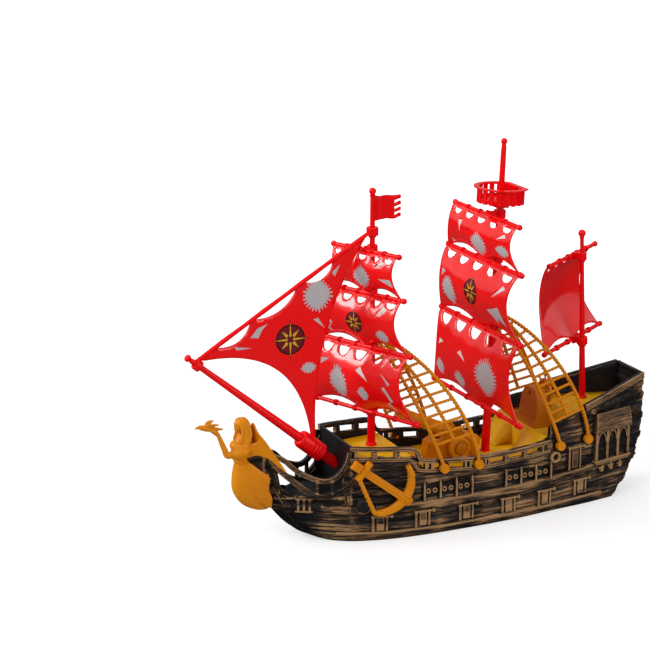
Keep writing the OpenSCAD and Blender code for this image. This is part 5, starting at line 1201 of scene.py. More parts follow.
# Nets: tan plastic mouldings of laid rope, three uprights and eleven rungs, that hook over the lugs on the
# masts and plug into the planking with two round feet. The lay shows as three twisted strands.
NET_TOPS = {"fore": (FOREMAST_X, -4.6, 119), "main": (MAINMAST_X + 89 * tan(radians(2.5)), -4.6, 123)}
NET_FEET = {"fore": [(-24, 41), (-0.9, 40.3)], "main": [(56, 43.5), (77.5, 44)]}
NET_BOW = [1.02, 1.22, 1.45]
NET_STAND, ROPE_CLEAR, ROPE_STEPS = 2.9, 0.87, 60
RUNGS, FIRST_RUNG, LAST_RUNG, RUNG_TILT = 11, 0.045, 0.775, 0.06
FOOT_PROFILE = [(1.0, -1.7), (2.6, -1.7), (2.85, -1.4), (2.85, 1.3), (2.65, 1.6), (2.25, 1.6), (2.0, 1.25),
                (0.1, 1.2)]
STRANDS, STRAND_SIDES, STRAND_SWELL, STRAND_MEAN = 3, 15, 0.26, 0.94
tan_plastic = moulded("tan_plastic", "e49000", "cc7600", 0.36, shine=0.22)

# Laid rope: the curve is twisted along its length and swept with a three-lobed section
rope_tree, given = new_tree("laid_rope", Radius=0.00105, Pitch=0.0085, Step=0.0005)


def rope_sum(operation, *values):
    return add_node(rope_tree, "ShaderNodeMath", dict(enumerate(values)), operation=operation)


route = add_node(rope_tree, "GeometryNodeMeshToCurve", {0: given[0]})
even = add_node(rope_tree, "GeometryNodeResampleCurve", {"Curve": route, "Length": given["Step"]}, mode="LENGTH")
run = add_node(rope_tree, "GeometryNodeSplineParameter").outputs["Length"]
twist = rope_sum("MULTIPLY", rope_sum("DIVIDE", run, given["Pitch"]), tau)
tilted = add_node(rope_tree, "GeometryNodeSetCurveTilt", {"Curve": even, "Tilt": twist})
disc = add_node(rope_tree, "GeometryNodeCurvePrimitiveCircle", {"Resolution": STRAND_SIDES,
                                                                "Radius": given["Radius"]})
spoke = rope_sum("MULTIPLY", add_node(rope_tree, "GeometryNodeInputIndex"), STRANDS * tau / STRAND_SIDES)
swell = rope_sum("MULTIPLY_ADD", rope_sum("COSINE", spoke), STRAND_SWELL, STRAND_MEAN)
spot = add_node(rope_tree, "GeometryNodeInputPosition")
spot = add_node(rope_tree, "ShaderNodeVectorMath", {0: spot, "Scale": swell}, operation="SCALE")
lobed = add_node(rope_tree, "GeometryNodeSetPosition", {"Geometry": disc, "Position": spot})
swept = add_node(rope_tree, "GeometryNodeCurveToMesh", {"Curve": tilted, "Profile Curve": lobed, "Fill Caps": True})
close_tree(rope_tree, swept, tan_plastic)


def rope_point(top, foot, bow_power, t):
    """Point of one rope at a share of its drop; it leaves the mast level and hangs steep outside the rail."""
    s = (1 - (1 - t) ** bow_power) ** (1 / bow_power)
    out = s + (1 - s) * min(1, t / ROPE_CLEAR)
    return Vector([a + (b - a) * share for a, b, share in zip(top, foot, (s, out, t))])


def laid_rope(lines, flip, radius, pitch):
    """Mesh of ropes along lines of points; flip mirrors them to the other side."""
    points, edges = [], []
    for line in lines:
        edges += [(len(points) + i, len(points) + i + 1) for i in range(len(line) - 1)]
        points += [p * flip for p in line]
    return run_tree(rope_tree, points, edges, Radius=radius * MM, Pitch=pitch * MM)


def joined(*parts):
    """One mesh from several."""
    pool = bmesh.new()
    for part in parts:
        pool.from_mesh(part)
        bpy.data.meshes.remove(part)
    mesh = bpy.data.meshes.new("joined")
    pool.to_mesh(mesh)
    pool.free()
    return mesh


SIDE_FLIPS = [Vector((1, 1, 1)), Vector((1, -1, 1))]
for rig, top in NET_TOPS.items():
    first, last = NET_FEET[rig]
    spread = [first, tuple((a + b) / 2 for a, b in zip(first, last)), last]
    ends = [(x, -half_breadth(x, z) - NET_STAND, z) for x, z in spread]
    uprights = [[rope_point(top, end, power, stop * (i / ROPE_STEPS) ** 1.5) for i in range(ROPE_STEPS + 1)]
                for end, power, stop in zip(ends, NET_BOW, (1, LAST_RUNG, 1))]
    drops = [FIRST_RUNG + (LAST_RUNG - FIRST_RUNG) * (r + 0.5) / (RUNGS - 0.5) for r in range(RUNGS)]
    rungs = [[rope_point(top, ends[k], NET_BOW[k], t + RUNG_TILT * (1 - k) / 2) for k in range(3)] for t in drops]
    feet = Shape()
    for end in (ends[0], ends[2]):
        feet.lathe(FOOT_PROFILE, 28, shifted(*end) @ FACE_OUT)
        feet.lathe([(1.1, -5), (1.1, -1)], 14, shifted(*end) @ FACE_OUT)
    feet.ring(clip(1.2, 1.5, 1.2, 1.0, 1.2), 24, shifted(*top) @ FACE_OUT)
    for (side, form), flip in zip(feet.sides(), SIDE_FLIPS):
        net = joined(laid_rope(uprights, flip, 1.08, 6.6), laid_rope(rungs, flip, 0.86, 5.4))
        name = f"{rig}_net_{side}"
        finish_piece(name, net, [tan_plastic], "hull", "tan_plastic", [name], sharp=70)
        new_piece(name + "_feet", form, [tan_plastic], "hull", "tan_plastic")


# Anchors: flat tan mouldings pinned to the bows, each with a fluted shank, a ringed eye, a stock, crescent
# arms with bound flukes and a length of laid rope from the stock to the lower arm.
ANCHOR_X, ANCHOR_Z, ANCHOR_TURN, ANCHOR_STAND, ANCHOR_T = -61, 35, 37, 2.8, 3
SHANK_FROM, SHANK_TO, PINS_X = -22, 20, (-9, 11)
EYE_W, STOCK_AT, STOCK_W, STOCK_L = 5.6, -16.5, 3.4, 13.5
ARM_R, ARM_ANGLE, ARM_TIP_W, ARM_SWELL, FLUKE_ANGLE = 19.7, 71, 2.8, 2.6, 22
ARM_X = SHANK_TO - 2.4 - ARM_R
# Shank with two sunk flutes, seen end on as across and out; then place, width and height along it
SHANK = [(-2.3, 0), (2.3, 0), (2.3, 2.7), (1.7, 3.0), (1.3, 2.5), (0.8, 2.5), (0.4, 3.05), (-0.4, 3.05), (-0.8, 2.5),
         (-1.3, 2.5), (-1.7, 3.0), (-2.3, 2.7)]
SHANK_RUN = [(SHANK_FROM + 2, 1, 1), (9, 1, 1), (11, 1.08, 1.14), (SHANK_TO - 1.4, 1.08, 1.14), (SHANK_TO, 0.7, 0.7)]
ROPE_FROM, ROPE_TO, ROPE_POINTS = (STOCK_AT + 0.6, -STOCK_L / 2 + 0.9), (3.8, -17.2), 20
lean = atan((half_breadth(ANCHOR_X, 20) - half_breadth(ANCHOR_X, 50)) / 30)
ANCHOR_AT = (on_hull(ANCHOR_X, ANCHOR_Z) @ turned(radians(ANCHOR_TURN), "Y") @ turned(-lean, "X")
             @ shifted(0, -ANCHOR_STAND, 0) @ FACE_OUT)


def along_anchor(x, z):
    return ANCHOR_AT @ shifted(x, 0, z)


anchor = Shape()
anchor.grid([[(x, -a * wide, b * high) for a, b in SHANK] for x, wide, high in SHANK_RUN], ANCHOR_AT)
anchor.block((EYE_W, EYE_W, ANCHOR_T + 0.6), along_anchor(SHANK_FROM, (ANCHOR_T + 0.6) / 2), (0.88, 0.88))
anchor.ring([(1.9, 0), (1.9, 0.25), (1.7, 0.4), (1.3, 0.35), (1.1, 0)], 24, along_anchor(SHANK_FROM, ANCHOR_T + 0.55))
anchor.block((STOCK_W, STOCK_L, ANCHOR_T + 0.4), along_anchor(STOCK_AT, (ANCHOR_T + 0.4) / 2), (0.86, 0.95))
anchor.block((1.5, STOCK_L - 1.2, 1.0), along_anchor(STOCK_AT, ANCHOR_T + 0.5), (0.7, 0.97))
anchor.lathe([(1.1, 0), (1.1, 0.5), (0.8, 0.9), (0.1, 1.05)], 18, along_anchor(SHANK_TO - 3.6, ANCHOR_T + 0.2))


def arm_row(a, section):
    """Section of an arm at an angle from the shank, from pairs of radius and height."""
    return [(ARM_X + r * cos(a), r * sin(a), z) for r, z in section]


# Crescent arms, widest at the shank, with edges that are rounded off
rows = []
for share in np.linspace(-1, 1, 61):
    inner = ARM_R - ARM_TIP_W - ARM_SWELL * cos(pi / 2 * share)
    rows.append(arm_row(radians(ARM_ANGLE * share), [
        (inner, 0), (inner, 2.1), (inner + 0.6, 2.75), ((inner + ARM_R) / 2, 3.0), (ARM_R - 0.6, 2.75), (ARM_R, 2.1),
        (ARM_R, 0)]))
anchor.grid(rows, ANCHOR_AT)
# Flukes: a thicker palm bound on the end of each arm
for s in (1, -1):
    rows = []
    for share in np.linspace(0, 1, 14):
        half, mid, face = 1.9 - 0.7 * share, ARM_R - 1.6, 3.6 - 0.3 * share
        palm = [(mid + u * half, z) for u, z in ((1, 1), (1, 3.1), (0.6, face), (-0.6, face), (-1, 3.1), (-1, 1))]
        rows.append(arm_row(radians(ARM_ANGLE - FLUKE_ANGLE + FLUKE_ANGLE * share) * s, palm)[::-s])
    anchor.grid(rows, ANCHOR_AT)
for x in PINS_X:
    anchor.lathe([(1.1, -ANCHOR_STAND - 1.4), (1.1, 0.5)], 16, along_anchor(x, 0))
rope_from, rope_to = (ANCHOR_AT @ Vector((x, y, ANCHOR_T + 0.2)) for x, y in (ROPE_FROM, ROPE_TO))
rope_line = [rope_from.lerp(rope_to, f) for f in np.linspace(0, 1, ROPE_POINTS)]
for (side, form), flip in zip(anchor.sides(), SIDE_FLIPS):
    name = "anchor_" + side
    new_piece(name, form, [tan_plastic], "hull", "tan_plastic", [name], bevel=0.22)
    rope = laid_rope([rope_line], flip, 1.25, 8.5)
    finish_piece(name + "_rope", rope, [tan_plastic], "hull", "tan_plastic", sharp=70)


# Figurehead: a tan plastic casting of a woman in a cape who holds a bird on her hand. Her skirt spreads to both
# sides of the stem and the cape lies along the head rails; all of it is one piece without seams.
FIGURE_GRAIN = 0.27
LIMB_STEPS, LEAF_SIDES, BACK_LOCKS, SIDE_LOCKS = 5, 20, 11, 4
# Rounded end of a limb: how far out and how wide, both as shares of its radius
LIMB_END = [(0, 1), (0.45, 0.9), (0.8, 0.6), (1, 0.1)]
figure = Shape()


def limb(path, sides=14):
    """Rounded limb through rows of x, y, z and radius."""
    rows = spline(path, LIMB_STEPS)
    spots = [Vector(row[:3]) for row in rows]
    last = len(spots) - 1
    rings = []
    for i, (spot, row) in enumerate(zip(spots, rows)):
        run = (spots[min(i + 1, last)] - spots[max(i - 1, 0)]).normalized()
        across = run.orthogonal().normalized() if i == 0 else (across - run * across.dot(run)).normalized()
        up = run.cross(across)
        ends = [(-u, s) for u, s in LIMB_END[::-1]] if i == 0 else LIMB_END if i == last else LIMB_END[:1]
        for u, s in ends:
            rings.append([spot + run * u * row[3] + (across * cos(a) + up * sin(a)) * row[3] * s
                          for a in around(sides)])
    figure.grid(rings)


def blade(upper, lower, thick):
    """Thin leaf between two edges, both given as rows of x, y and z."""
    upper, lower = ([Vector(p) for p in spline(edge, LIMB_STEPS)] for edge in (upper, lower))
    rows = []
    for i, (a, b) in enumerate(zip(upper, lower)):
        mid, half = (a + b) / 2, (a - b) / 2
        run = upper[min(i + 1, len(upper) - 1)] - upper[max(i - 1, 0)]
        out = run.cross(half).normalized() * thick / 2
        rows.append([mid + half * cos(t) + out * sin(t) for t in around(LEAF_SIDES)])
    figure.grid(rows)


def sided(s, rows):
    """Rows of the starboard side, mirrored for s -1."""
    return [(x, s * y, *rest) for x, y, *rest in rows]


# Bust, waist and skirt
limb([(-137.2, 0, 68.5, 2.5), (-138, 0, 65, 4.2), (-140, 0, 60, 4.7), (-140.6, 0, 55, 4.3), (-140, 0, 51, 4.0),
      (-140.2, 0, 47, 4.7), (-140, 0, 42, 5.7), (-139, 0, 35, 6.5), (-135.5, 0, 28.5, 5.9), (-129.5, 0, 23.4, 4.0),
      (-125, 0, 21.6, 2.6)], 24)
for s in (-1, 1):
    limb(sided(s, [(-139, 2.5, 66, 2.4), (-138.6, 3.9, 64.2, 2.7), (-139.4, 4.3, 61.6, 2.6)]))
limb([(-141.6, -3.4, 61.2, 2.4), (-143.4, -1.7, 61, 2.8), (-143.8, 0, 61, 2.8), (-143.4, 1.7, 61, 2.8),
      (-141.6, 3.4, 61.2, 2.4)])
# Belt
for s in (-1, 1):
    limb(sided(s, [(-144.2, 0, 51.6, 0.6), (-142.8, 3, 51.5, 0.6), (-140, 4.2, 51.3, 0.6), (-136.6, 2.6, 51, 0.6)]))
# Head, neck, nose, lips, then brows, eyes and cheeks
limb([(-138.6, 0, 74.6, 3.4), (-139.8, 0, 73.8, 3.9), (-140.8, 0, 72.0, 3.3), (-141.8, 0, 70.6, 1.9)], 20)
limb([(-138.4, 0, 69.6, 1.9), (-138, 0, 66.5, 2.2)])
limb([(-143.2, 0, 74.6, 0.4), (-143.7, 0, 73.3, 0.5), (-143.8, 0, 72.8, 0.5)], 10)
limb([(-143.5, -0.7, 71.2, 0.45), (-143.9, 0, 71.25, 0.55), (-143.5, 0.7, 71.2, 0.45)], 10)
for s in (-1, 1):
    limb(sided(s, [(-143.6, 0.5, 74.6, 0.45), (-143.1, 1.7, 74.8, 0.5), (-142, 2.7, 74.4, 0.45)]), 10)
    limb(sided(s, [(-143.1, 1.25, 73.6, 0.55), (-142.9, 1.75, 73.6, 0.5)]), 10)
    limb(sided(s, [(-142.4, 1.6, 72.2, 1.15), (-141.6, 1.8, 71.6, 1.2)]), 10)
# Hair in long locks from the parting down over the back and both shoulders
for k in range(BACK_LOCKS):
    a = pi * (k / (BACK_LOCKS - 1) - 0.5)
    y, back, sway = 4.0 * sin(a), 3.6 * cos(a), 0.5 * sin(k * 2.1)
    limb([(-140.9 + 0.5 * cos(a), 0.35 * y, 77.3 - 0.5 * abs(sin(a)), 0.6), (-138.8 + 0.6 * back, y * 0.9, 76.0, 0.8),
          (-137.4 + back * 0.75, y * 1.06, 72.6, 0.85), (-136.8 + back * 0.6 + sway, y * 1.04, 68.2, 0.85),
          (-136.6 + back * 0.5 - sway, y * 1.04, 63.6, 0.8),
          (-136.4 + back * 0.4 + sway, y * 0.9, 59.6 + 1.2 * sin(k * 1.7), 0.45)], 10)
for s in (-1, 1):
    for k in range(SIDE_LOCKS):
        sway = 0.5 * sin(k * 2.3)
        limb(sided(s, [(-141.4 + 1.0 * k, 0.9, 77.2, 0.65), (-141.2 + 1.5 * k, 3.4, 75.4, 0.8),
                       (-140.6 + 1.6 * k, 4.3, 71.8, 0.9), (-140.8 + 1.65 * k + sway, 4.8, 68, 0.9),
                       (-141.8 + 1.7 * k - sway, 5.2, 64.4, 0.85),
                       (-142.2 + 1.7 * k + sway, 5.4, 61.4 - 0.5 * (k % 3), 0.45)]), 10)
# Arm that holds the bird, its puffed sleeve, the hand and its fingers, then the other arm with its hand on the belt
limb([(-138.6, -4.6, 61.6, 2.6), (-141.4, -5.0, 60.2, 2.8), (-145, -4.4, 58.4, 2.5), (-149.6, -3.2, 56.8, 1.9),
      (-151.2, -2.6, 60.6, 1.8), (-153.8, -1.9, 67.4, 1.35), (-154.7, -1.6, 69.8, 1.3)])
limb([(-137.6, -4.8, 59.2, 2.6), (-140.2, -5.6, 58.4, 3.3), (-143.8, -5.2, 57.6, 3.1), (-146.2, -4.4, 57.4, 2.2)])
limb([(-154.6, -1.6, 69.4, 1.2), (-156.6, -1.4, 71.6, 1.6), (-158.8, -1.2, 73, 1.3)])
for y in (-2.4, -1.2, 0.0):
    limb([(-156, y, 71.4, 0.75), (-158.6, y + 0.1, 72.4, 0.7), (-160.6, y + 0.1, 73.4, 0.55)], 10)
limb([(-139.2, 4.0, 63.6, 2.3), (-141.4, 5.4, 58.4, 2.1), (-143, 4.6, 54.4, 1.7), (-143.8, 2.8, 53, 1.2)])
# Bird with spread wings and a long tail
limb([(-151.6, -1.2, 72.6, 0.5), (-155.6, -1.1, 73.3, 1.1), (-160, -1, 74, 1.8), (-163.6, -1, 74.9, 1.7),
      (-166, -1, 75.5, 1.2), (-168.6, -1, 75.1, 0.35)], 16)
for s in (-1, 1):
    wing_edges = ([(-162.8, 0.6, 75.8), (-161.4, 2.4, 77.2), (-158.4, 3.9, 77.8), (-155.4, 4.4, 77.2)],
                  [(-158.6, 0.6, 74.8), (-157.8, 2.2, 75.6), (-156.4, 3.6, 76.4), (-155.2, 4.3, 76.8)])
    blade(*([(x, -1 + s * y, z) for x, y, z in edge] for edge in wing_edges), 1.0)
# Cape: a leaf on each side with a raised edge, joined behind the neck by a peaked collar
for s in (-1, 1):
    top = sided(s, [(-137, 3.2, 62.2), (-134, 5.4, 63.2), (-132, 6.3, 64.4), (-130.4, 6.9, 66.6), (-128.2, 8.0, 63.4),
                    (-125.4, 9.1, 58.8), (-121.2, 10.8, 51.6), (-117, 12.1, 45.2)])
    foot = sided(s, [(-137.4, 3.2, 53.6), (-135, 4.8, 54.6), (-133.4, 5.8, 55.2), (-131.4, 6.8, 55.2),
                     (-129, 7.8, 54.4), (-126, 8.8, 52.8), (-121.6, 10.6, 48.8), (-117.2, 12.0, 44.6)])
    blade(top, foot, 1.7)
    limb([(*p, 0.9) for p in top[3:-1]] + [(*top[-1], 0.6)], 10)
peak = [(-130.4, -6.9, 66.6), (-131.4, -3.6, 69.2), (-132.2, 0, 73), (-131.4, 3.6, 69.2), (-130.4, 6.9, 66.6)]
blade(peak, [(-130, -7, 60), (-131, -3.8, 59), (-131.4, 0, 58), (-131, 3.8, 59), (-130, 7, 60)], 1.4)
limb([(*p, 0.75) for p in peak], 10)
# Skirt spread back along the stem with a notched edge and three folds
for s in (-1, 1):
    front = sided(s, [(-139.8, 3.2, 51), (-139.6, 4.2, 46), (-139.4, 5.0, 40), (-137.4, 5.2, 33), (-132, 4.4, 26.4),
                      (-126.6, 3.4, 22.6)])
    edge = sided(s, [(-135.6, 4.2, 50.6), (-129.6, 5.8, 45.4), (-124.4, 6.7, 40.6), (-125.2, 6.7, 34),
                     (-123, 6.7, 27.5), (-122.8, 5.0, 21.6)])
    blade(front, edge, 2.0)
    for fold in ([(-139, 5.0, 44), (-124.6, 6.9, 40.4)], [(-138.4, 5.6, 38), (-125.4, 6.9, 34.6)],
                 [(-136, 5.4, 31.6), (-123.6, 6.9, 28)]):
        a, b = sided(s, fold)
        mid = [(p + q) / 2 for p, q in zip(a, b)]
        limb([(*a, 0.4), (mid[0], mid[1] + s * 0.35, mid[2] - 0.5, 0.55), (*b, 0.45)], 8)
figure.block((10.5, 6.8, 20), shifted(-128.75, 0, 32))
carrier = placed_object("rough_figure", figure.mesh("rough_figure"))
skin = carrier.modifiers.new("skin", "REMESH")
skin.mode = "VOXEL"
skin.voxel_size = FIGURE_GRAIN * MM
soft = carrier.modifiers.new("soft", "SMOOTH")
soft.factor = 0.5
soft.iterations = 1
finish_piece("figurehead", applied(carrier), [tan_plastic], "hull", "tan_plastic", ["figurehead"], sharp=80)


# Cannon: a tan carriage of two stepped cheeks on a bed, pinned to the waist deck, with a turned barrel on
# trunnions and two slit wheels that snap over the ends of the axle.
GUN_X, TRUNNION_Z, BARREL_LIFT = -4, 51, 26
CHEEK_FROM, CHEEK_TO, CHEEK_IN, CHEEK_OUT, NOSE, NOSE_TO = -21.6, 14, 4.9, 7.1, 2.6, -13.5
BED_L, BED_T, PANEL_DEEP, PANEL_FROM, PANEL_TO = 27.4, 1.6, 0.3, -15, 7.5
BARREL_BACK, BARREL_FRONT, BORE_DEEP = 22.4, 38, 16
WHEEL_X, WHEEL_Z, WHEEL_R, HUB_R, WHEEL_W, WHEEL_GAP, SLIT = -1.3, 43.1, 6.8, 3.1, 4.2, 0.35, 0.45
# Painted shade: a darker copy of the tan plastic for the carriage and the pedestal
tan_plastic_shaded = moulded("tan_plastic_with_painted_shade", "d07c00", "b86400", 0.38, shine=0.2)
# Cheek from the side: height of its top at each place along the carriage, and its bolts
CHEEK_TOP = [(CHEEK_FROM, 36), (-19.6, 47.2), (-14, 48), (-9, 54.2), (1.5, 54.2), (5, 49), (9.5, 45.5), (12.5, 40),
             (CHEEK_TO, 34.5)]
BOLTS = [(-17.6, 45), (-18.6, 37.6), (8.6, 37.6), (4.6, 45.6), (-9, 52)]
AXLE_END = [(HUB_R - 0.15, -0.5), (HUB_R - 0.15, 4.6), (HUB_R + 0.4, 4.75), (HUB_R + 0.35, 5.2), (2.2, 5.55),
            (0.1, 5.7)]


def cheek_out(x):
    """How far the cheek stands out from the middle; it narrows to the nose."""
    return float(np.interp(x, (-22, NOSE_TO), (NOSE, CHEEK_OUT)))


cheek = Shape()
rows = []
for x in sorted(set(np.linspace(CHEEK_FROM, CHEEK_TO, 60).tolist() + [x for x, _ in CHEEK_TOP])):
    top = float(np.interp(x, *zip(*CHEEK_TOP)))
    out = cheek_out(x)
    inner = CHEEK_IN if x > NOSE_TO else 0.02
    sunk = out - (PANEL_DEEP if PANEL_FROM < x < PANEL_TO else 0.0)
    low, high = WAIST_DECK_Z + 2.2, top - 1.8
    rows.append([(x, -y, z) for y, z in (
        (inner, top - 0.15), (inner, WAIST_DECK_Z), (out, WAIST_DECK_Z), (out, low), (sunk, low + 0.3),
        (sunk, max(low + 0.4, high - 0.3)), (out, max(low + 0.5, high)), (out, top - 0.4), (out - 0.4, top))])
cheek.grid(rows)
for x, z in BOLTS:
    cheek.lathe([(0.8, -0.2), (0.8, 0.3), (0.5, 0.5), (0.1, 0.6)], 14, shifted(x, -cheek_out(x), z) @ FACE_OUT)
cheek.lathe(AXLE_END, 28, shifted(WHEEL_X, -CHEEK_OUT, WHEEL_Z) @ FACE_OUT)
carriage = Shape()
for _, form in cheek.sides():
    carriage.add(form.points, form.faces)
carriage.block((BED_L, 2 * CHEEK_IN + 0.6, BED_T), shifted(0.2, 0, WAIST_DECK_Z + BED_T / 2))
# The carriage takes the darker tan as painted shade
new_piece("cannon_carriage", carriage, [tan_plastic_shaded], "hull", "tan_plastic", ["cannon_carriage"], bevel=0.16)

# Barrel: pairs of radius and place, from its back end, in a groove, from its trunnions and from its muzzle
BREECH = [(0.1, 0), (2.2, 0), (2.9, 0.2), (3.6, 0.8), (4.1, 1.4), (4.3, 2)]
BREECH_GROOVE = [(4.48, 0), (4.05, 0.25), (3.9, 0.45), (3.9, 1.3), (4.05, 1.55), (4.48, 1.8)]
CHASE = [(4.45, -7), (4.2, -6), (4.2, 3), (3.9, 5), (3.9, 6.5), (4.3, 7), (4.3, 8.5), (4.0, 9), (3.85, 19),
         (4.1, 19.4), (4.1, 20.6), (3.8, 21)]
MUZZLE = [(3.7, -6), (4.2, -5.4), (4.2, -4.2), (3.7, -3.6), (4.1, -2.2), (4.4, -0.8), (4.3, -0.2), (4.1, 0), (2.0, 0),
          (1.9, -0.2), (1.9, -BORE_DEEP), (0.1, -BORE_DEEP)]
TRUNNION_AT = shifted(GUN_X, 0, TRUNNION_Z)
ALONG_BARREL = TRUNNION_AT @ turned(radians(BARREL_LIFT - 90), "Y")
barrel = Shape()
barrel.lathe([(r, -BARREL_BACK + z) for r, z in BREECH]
             + [(r, -BARREL_BACK + 2.6 + 2.8 * k + z) for k in range(3) for r, z in BREECH_GROOVE]
             + CHASE + [(r, BARREL_FRONT + z) for r, z in MUZZLE], 40, ALONG_BARREL)
barrel.lathe(two_ended([(0.2, 6.9), (1.5, 6.8), (1.68, 6.5)]), 24, TRUNNION_AT @ FACE_OUT)
for s in (-1, 1):
    # Lifting handles
    barrel.tube([ALONG_BARREL @ Vector((3.8 + 1.6 * sin(a), s * 1.3, 1.4 - 3.0 * cos(a)))
                 for a in np.linspace(0.2, 2.94, 14)], round_section(0.5, 10))
new_piece("cannon_barrel", barrel, [tan_plastic], "barrel", "tan_plastic", ["cannon_barrel"])

wheel = Shape()
slit = SLIT / WHEEL_R
section = [(HUB_R + 0.08, 0), (WHEEL_R - 0.4, 0), (WHEEL_R, 0.4), (WHEEL_R, WHEEL_W - 0.6), (WHEEL_R - 0.6, WHEEL_W),
           (4.9, WHEEL_W), (4.6, WHEEL_W - 0.3), (4.3, WHEEL_W - 0.8), (HUB_R + 0.08, WHEEL_W - 0.8)]
wheel.grid([[(r * cos(a), r * sin(a), z) for r, z in section]
            for a in np.linspace(-pi / 2 + slit, 1.5 * pi - slit, 61)],
           shifted(WHEEL_X, -CHEEK_OUT - WHEEL_GAP, WHEEL_Z) @ FACE_OUT)
for side, form in wheel.sides():
    name = "cannon_wheel_" + side
    new_piece(name, form, [tan_plastic], "gun_wheel_" + side, "tan_plastic", [name], bevel=0.15)


# Helm: a tapered tan pedestal on a stepped plinth, pinned to the quarter deck, with a bored hole in its
# face and an eight-spoked wheel that turns on a shaft behind it.
STAND_X, HELM_X, HELM_Z, HELM_R, SHAFT_HOLE_R = 55.8, 61.4, 68.5, 8, 1.55
STAND_AT = shifted(STAND_X, 0, HELM_DECK_Z)
HELM_AT = shifted(HELM_X, 0, HELM_Z) @ turned(pi / 2, "Y")
# Steps of the plinth: length, width, low and high
PLINTH = [(16.4, 29.6, 0, 1.4), (14.4, 27.6, 1.4, 2.5), (12.8, 26, 2.5, 3.5)]
# Quarter of the column's plan with a groove down its side, drawn to a half depth and a half width
COLUMN_D, COLUMN_W = 5, 12
COLUMN = [(COLUMN_D, 11), (4.2, COLUMN_W), (2, COLUMN_W), (1.8, 11.6)]
COLUMN_STEPS = 13
pedestal = Shape()
for long, wide, low, high in PLINTH:
    pedestal.block((long, wide, high - low), STAND_AT @ shifted(0, 0, (low + high) / 2), (0.97, 0.98))
side_line = COLUMN + [(-x, y) for x, y in COLUMN[::-1]]
plan = [(-x, -y) for x, y in side_line] + side_line
rows = []
for share in np.linspace(0, 1, COLUMN_STEPS):
    # Straight taper that turns over at the shoulders
    over = max(0, (share - 0.62) / 0.38)
    half_d = 5.3 - 1.5 * share - 0.3 * over ** 3
    half_w = 12 - 2.6 * share - 3.2 * (1 - sqrt(max(0, 1 - 0.96 * over ** 2)))
    rows.append([(half_d * (x / COLUMN_D), half_w * (y / COLUMN_W), 1.6 + 18.6 * share) for x, y in plan])
shoulder = rows[-1]
for z, deep, wide in ((21.2, 0.97, 0.93), (21.8, 0.86, 0.8)):
    rows.append([(x * deep, y * wide, z) for x, y, _ in shoulder])
pedestal.grid(rows, STAND_AT)
drill = Shape()
drill.lathe([(SHAFT_HOLE_R, -20), (SHAFT_HOLE_R, 20)], 24, shifted(STAND_X, 0, HELM_Z) @ turned(pi / 2, "Y"))
carrier = placed_object("pedestal", pedestal.mesh("pedestal"))
cutter = placed_object("drill", drill.mesh("drill"))
cut = carrier.modifiers.new("bore", "BOOLEAN")
cut.object = cutter
cut.use_self = True
bored = applied(carrier)
bpy.data.objects.remove(cutter)
# The pedestal takes the darker tan as painted shade
finish_piece("helm_pedestal", bored, [tan_plastic_shaded], "hull", "tan_plastic", ["helm_pedestal"], bevel=0.3)

# Spokes: one turned handle instanced on the points of a circle
spoke_tree, given = new_tree("helm_spokes", Count=8.0, Length=0.0104)
hub_ring = add_node(spoke_tree, "GeometryNodeMeshCircle", {"Vertices": given["Count"], "Radius": 0.0001})
shaft = add_node(spoke_tree, "GeometryNodeMeshCone", {"Vertices": 12, "Radius Top": 0.00055, "Radius Bottom": 0.0008,
                                                      "Depth": given["Length"]})
grip = add_node(spoke_tree, "GeometryNodeMeshUVSphere", {"Segments": 14, "Rings": 9, "Radius": 0.00105})
grip_at = add_node(spoke_tree, "ShaderNodeCombineXYZ", {"Z": given["Length"]})
long_grip = add_node(spoke_tree, "GeometryNodeTransform", {"Geometry": grip, "Translation": grip_at,
                                                           "Scale": (1, 1, 1.25)})
handle = add_node(spoke_tree, "GeometryNodeJoinGeometry")
for part in (shaft, long_grip):
    spoke_tree.links.new(part.outputs[0], handle.inputs[0])
on_points(spoke_tree, hub_ring, handle, facing_out(spoke_tree, pi / 2), tan_plastic)
spokes = moved(run_tree(spoke_tree, [(0, 0, 0)]), HELM_AT @ shifted(0, 0, 1.5))
finish_piece("helm_spokes", spokes, [tan_plastic], "helm", "tan_plastic")
HUB = [(0.1, -5.2), (1.3, -5.2), (1.48, -4.9), (1.48, -0.4), (2.4, -0.2), (2.7, 0.2), (2.7, 2.8), (2.4, 3.0),
       (1.6, 3.0), (1.4, 2.7), (0.1, 2.7)]
RIM = [(-1.1, -0.5), (-0.7, -1.0), (0.7, -1.0), (1.1, -0.5), (1.1, 0.5), (0.7, 1.0), (0.4, 1.0), (0.3, 0.8),
       (-0.3, 0.8), (-0.4, 1.0), (-0.7, 1.0), (-1.1, 0.5)]
helm = Shape()
helm.lathe(HUB, 28, HELM_AT)
helm.ring([(HELM_R - 1.2 + x, 1.5 + z) for x, z in RIM], 48, HELM_AT)
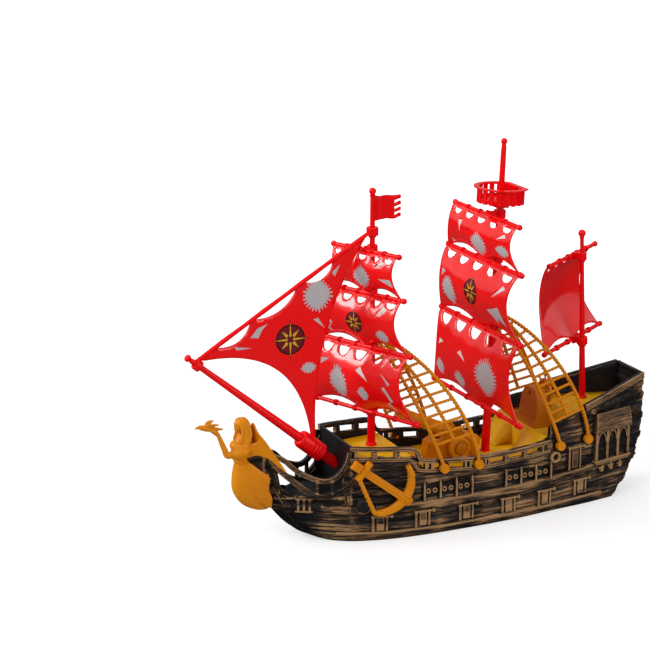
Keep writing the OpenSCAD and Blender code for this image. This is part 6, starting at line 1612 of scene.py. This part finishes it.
new_piece("helm_wheel", helm, [tan_plastic], "helm", "tan_plastic", ["helm_wheel"])


# Sound button: a soft black rubber knob in a hole in the port bow, with eight facets round a flat top and
# a flange inside the planking that stops it coming out.
PRESS_AT = on_hull(-73, 22) @ FACE_OUT
FACETS = 8
# Radius, height and depth of the facets
KNOB_ROWS = [(4.45, -2.8, 0), (4.45, 0.2, 0), (4.4, 0.9, 0.03), (4.1, 1.5, 0.07), (3.5, 1.85, 0.08), (2.4, 2.0, 0.05),
             (0.8, 1.9, 0.0), (0.05, 1.9, 0)]
FLANGE = [(0.2, -4.4), (5.5, -4.4), (5.55, -4.2), (5.55, -3.0), (5.3, -2.8), (0.2, -2.8)]
button = Shape()
rows = []
for r, z, facet in KNOB_ROWS:
    radii = [(r * (1 - facet * (0.5 - 0.5 * cos(FACETS * a))), a) for a in around(48)]
    rows.append([(out * cos(a), out * sin(a), z) for out, a in radii])
button.grid(rows, PRESS_AT)
button.lathe(FLANGE, 36, PRESS_AT)
black_rubber = moulded("black_rubber", "242326", "161517", 0.55, grain_mm=0.25, bump=0.12)
new_piece("sound_button", button, [black_rubber], "button", "button_rubber", ["sound_button"])


# Sound unit and fixings: circuit board, speaker, battery box with its cells, door and screws. They sit inside
# the hull or under it and keep the solids of the construction, in their own materials.
FITTINGS = {"sound_board": moulded("green_board", "1f5a36", "17462a", 0.4, grain_mm=0.8, bump=0.1),
            "speaker": moulded("black_paper_cone", "1b1b1d", "101012", 0.6, grain_mm=0.4, bump=0.3),
            "battery_box": moulded("dark_plastic", "232226", "19181b", 0.45),
            "battery_door": moulded("door_plastic", "2a282b", "201e21", 0.42)}
# Plated steel of the cells and screws: bright and finely scratched
steel = moulded("plated_steel", "b9bbbe", "9da0a4", 0.28, grain_mm=0.3, bump=0.08)
feed_shader(steel, {"Metallic": 1.0})
for node in ("button_cells", "battery_door_screw", "hull_screws"):
    FITTINGS[node] = steel
for node, material in FITTINGS.items():
    for slot in bpy.data.objects[node].material_slots:
        slot.material = material
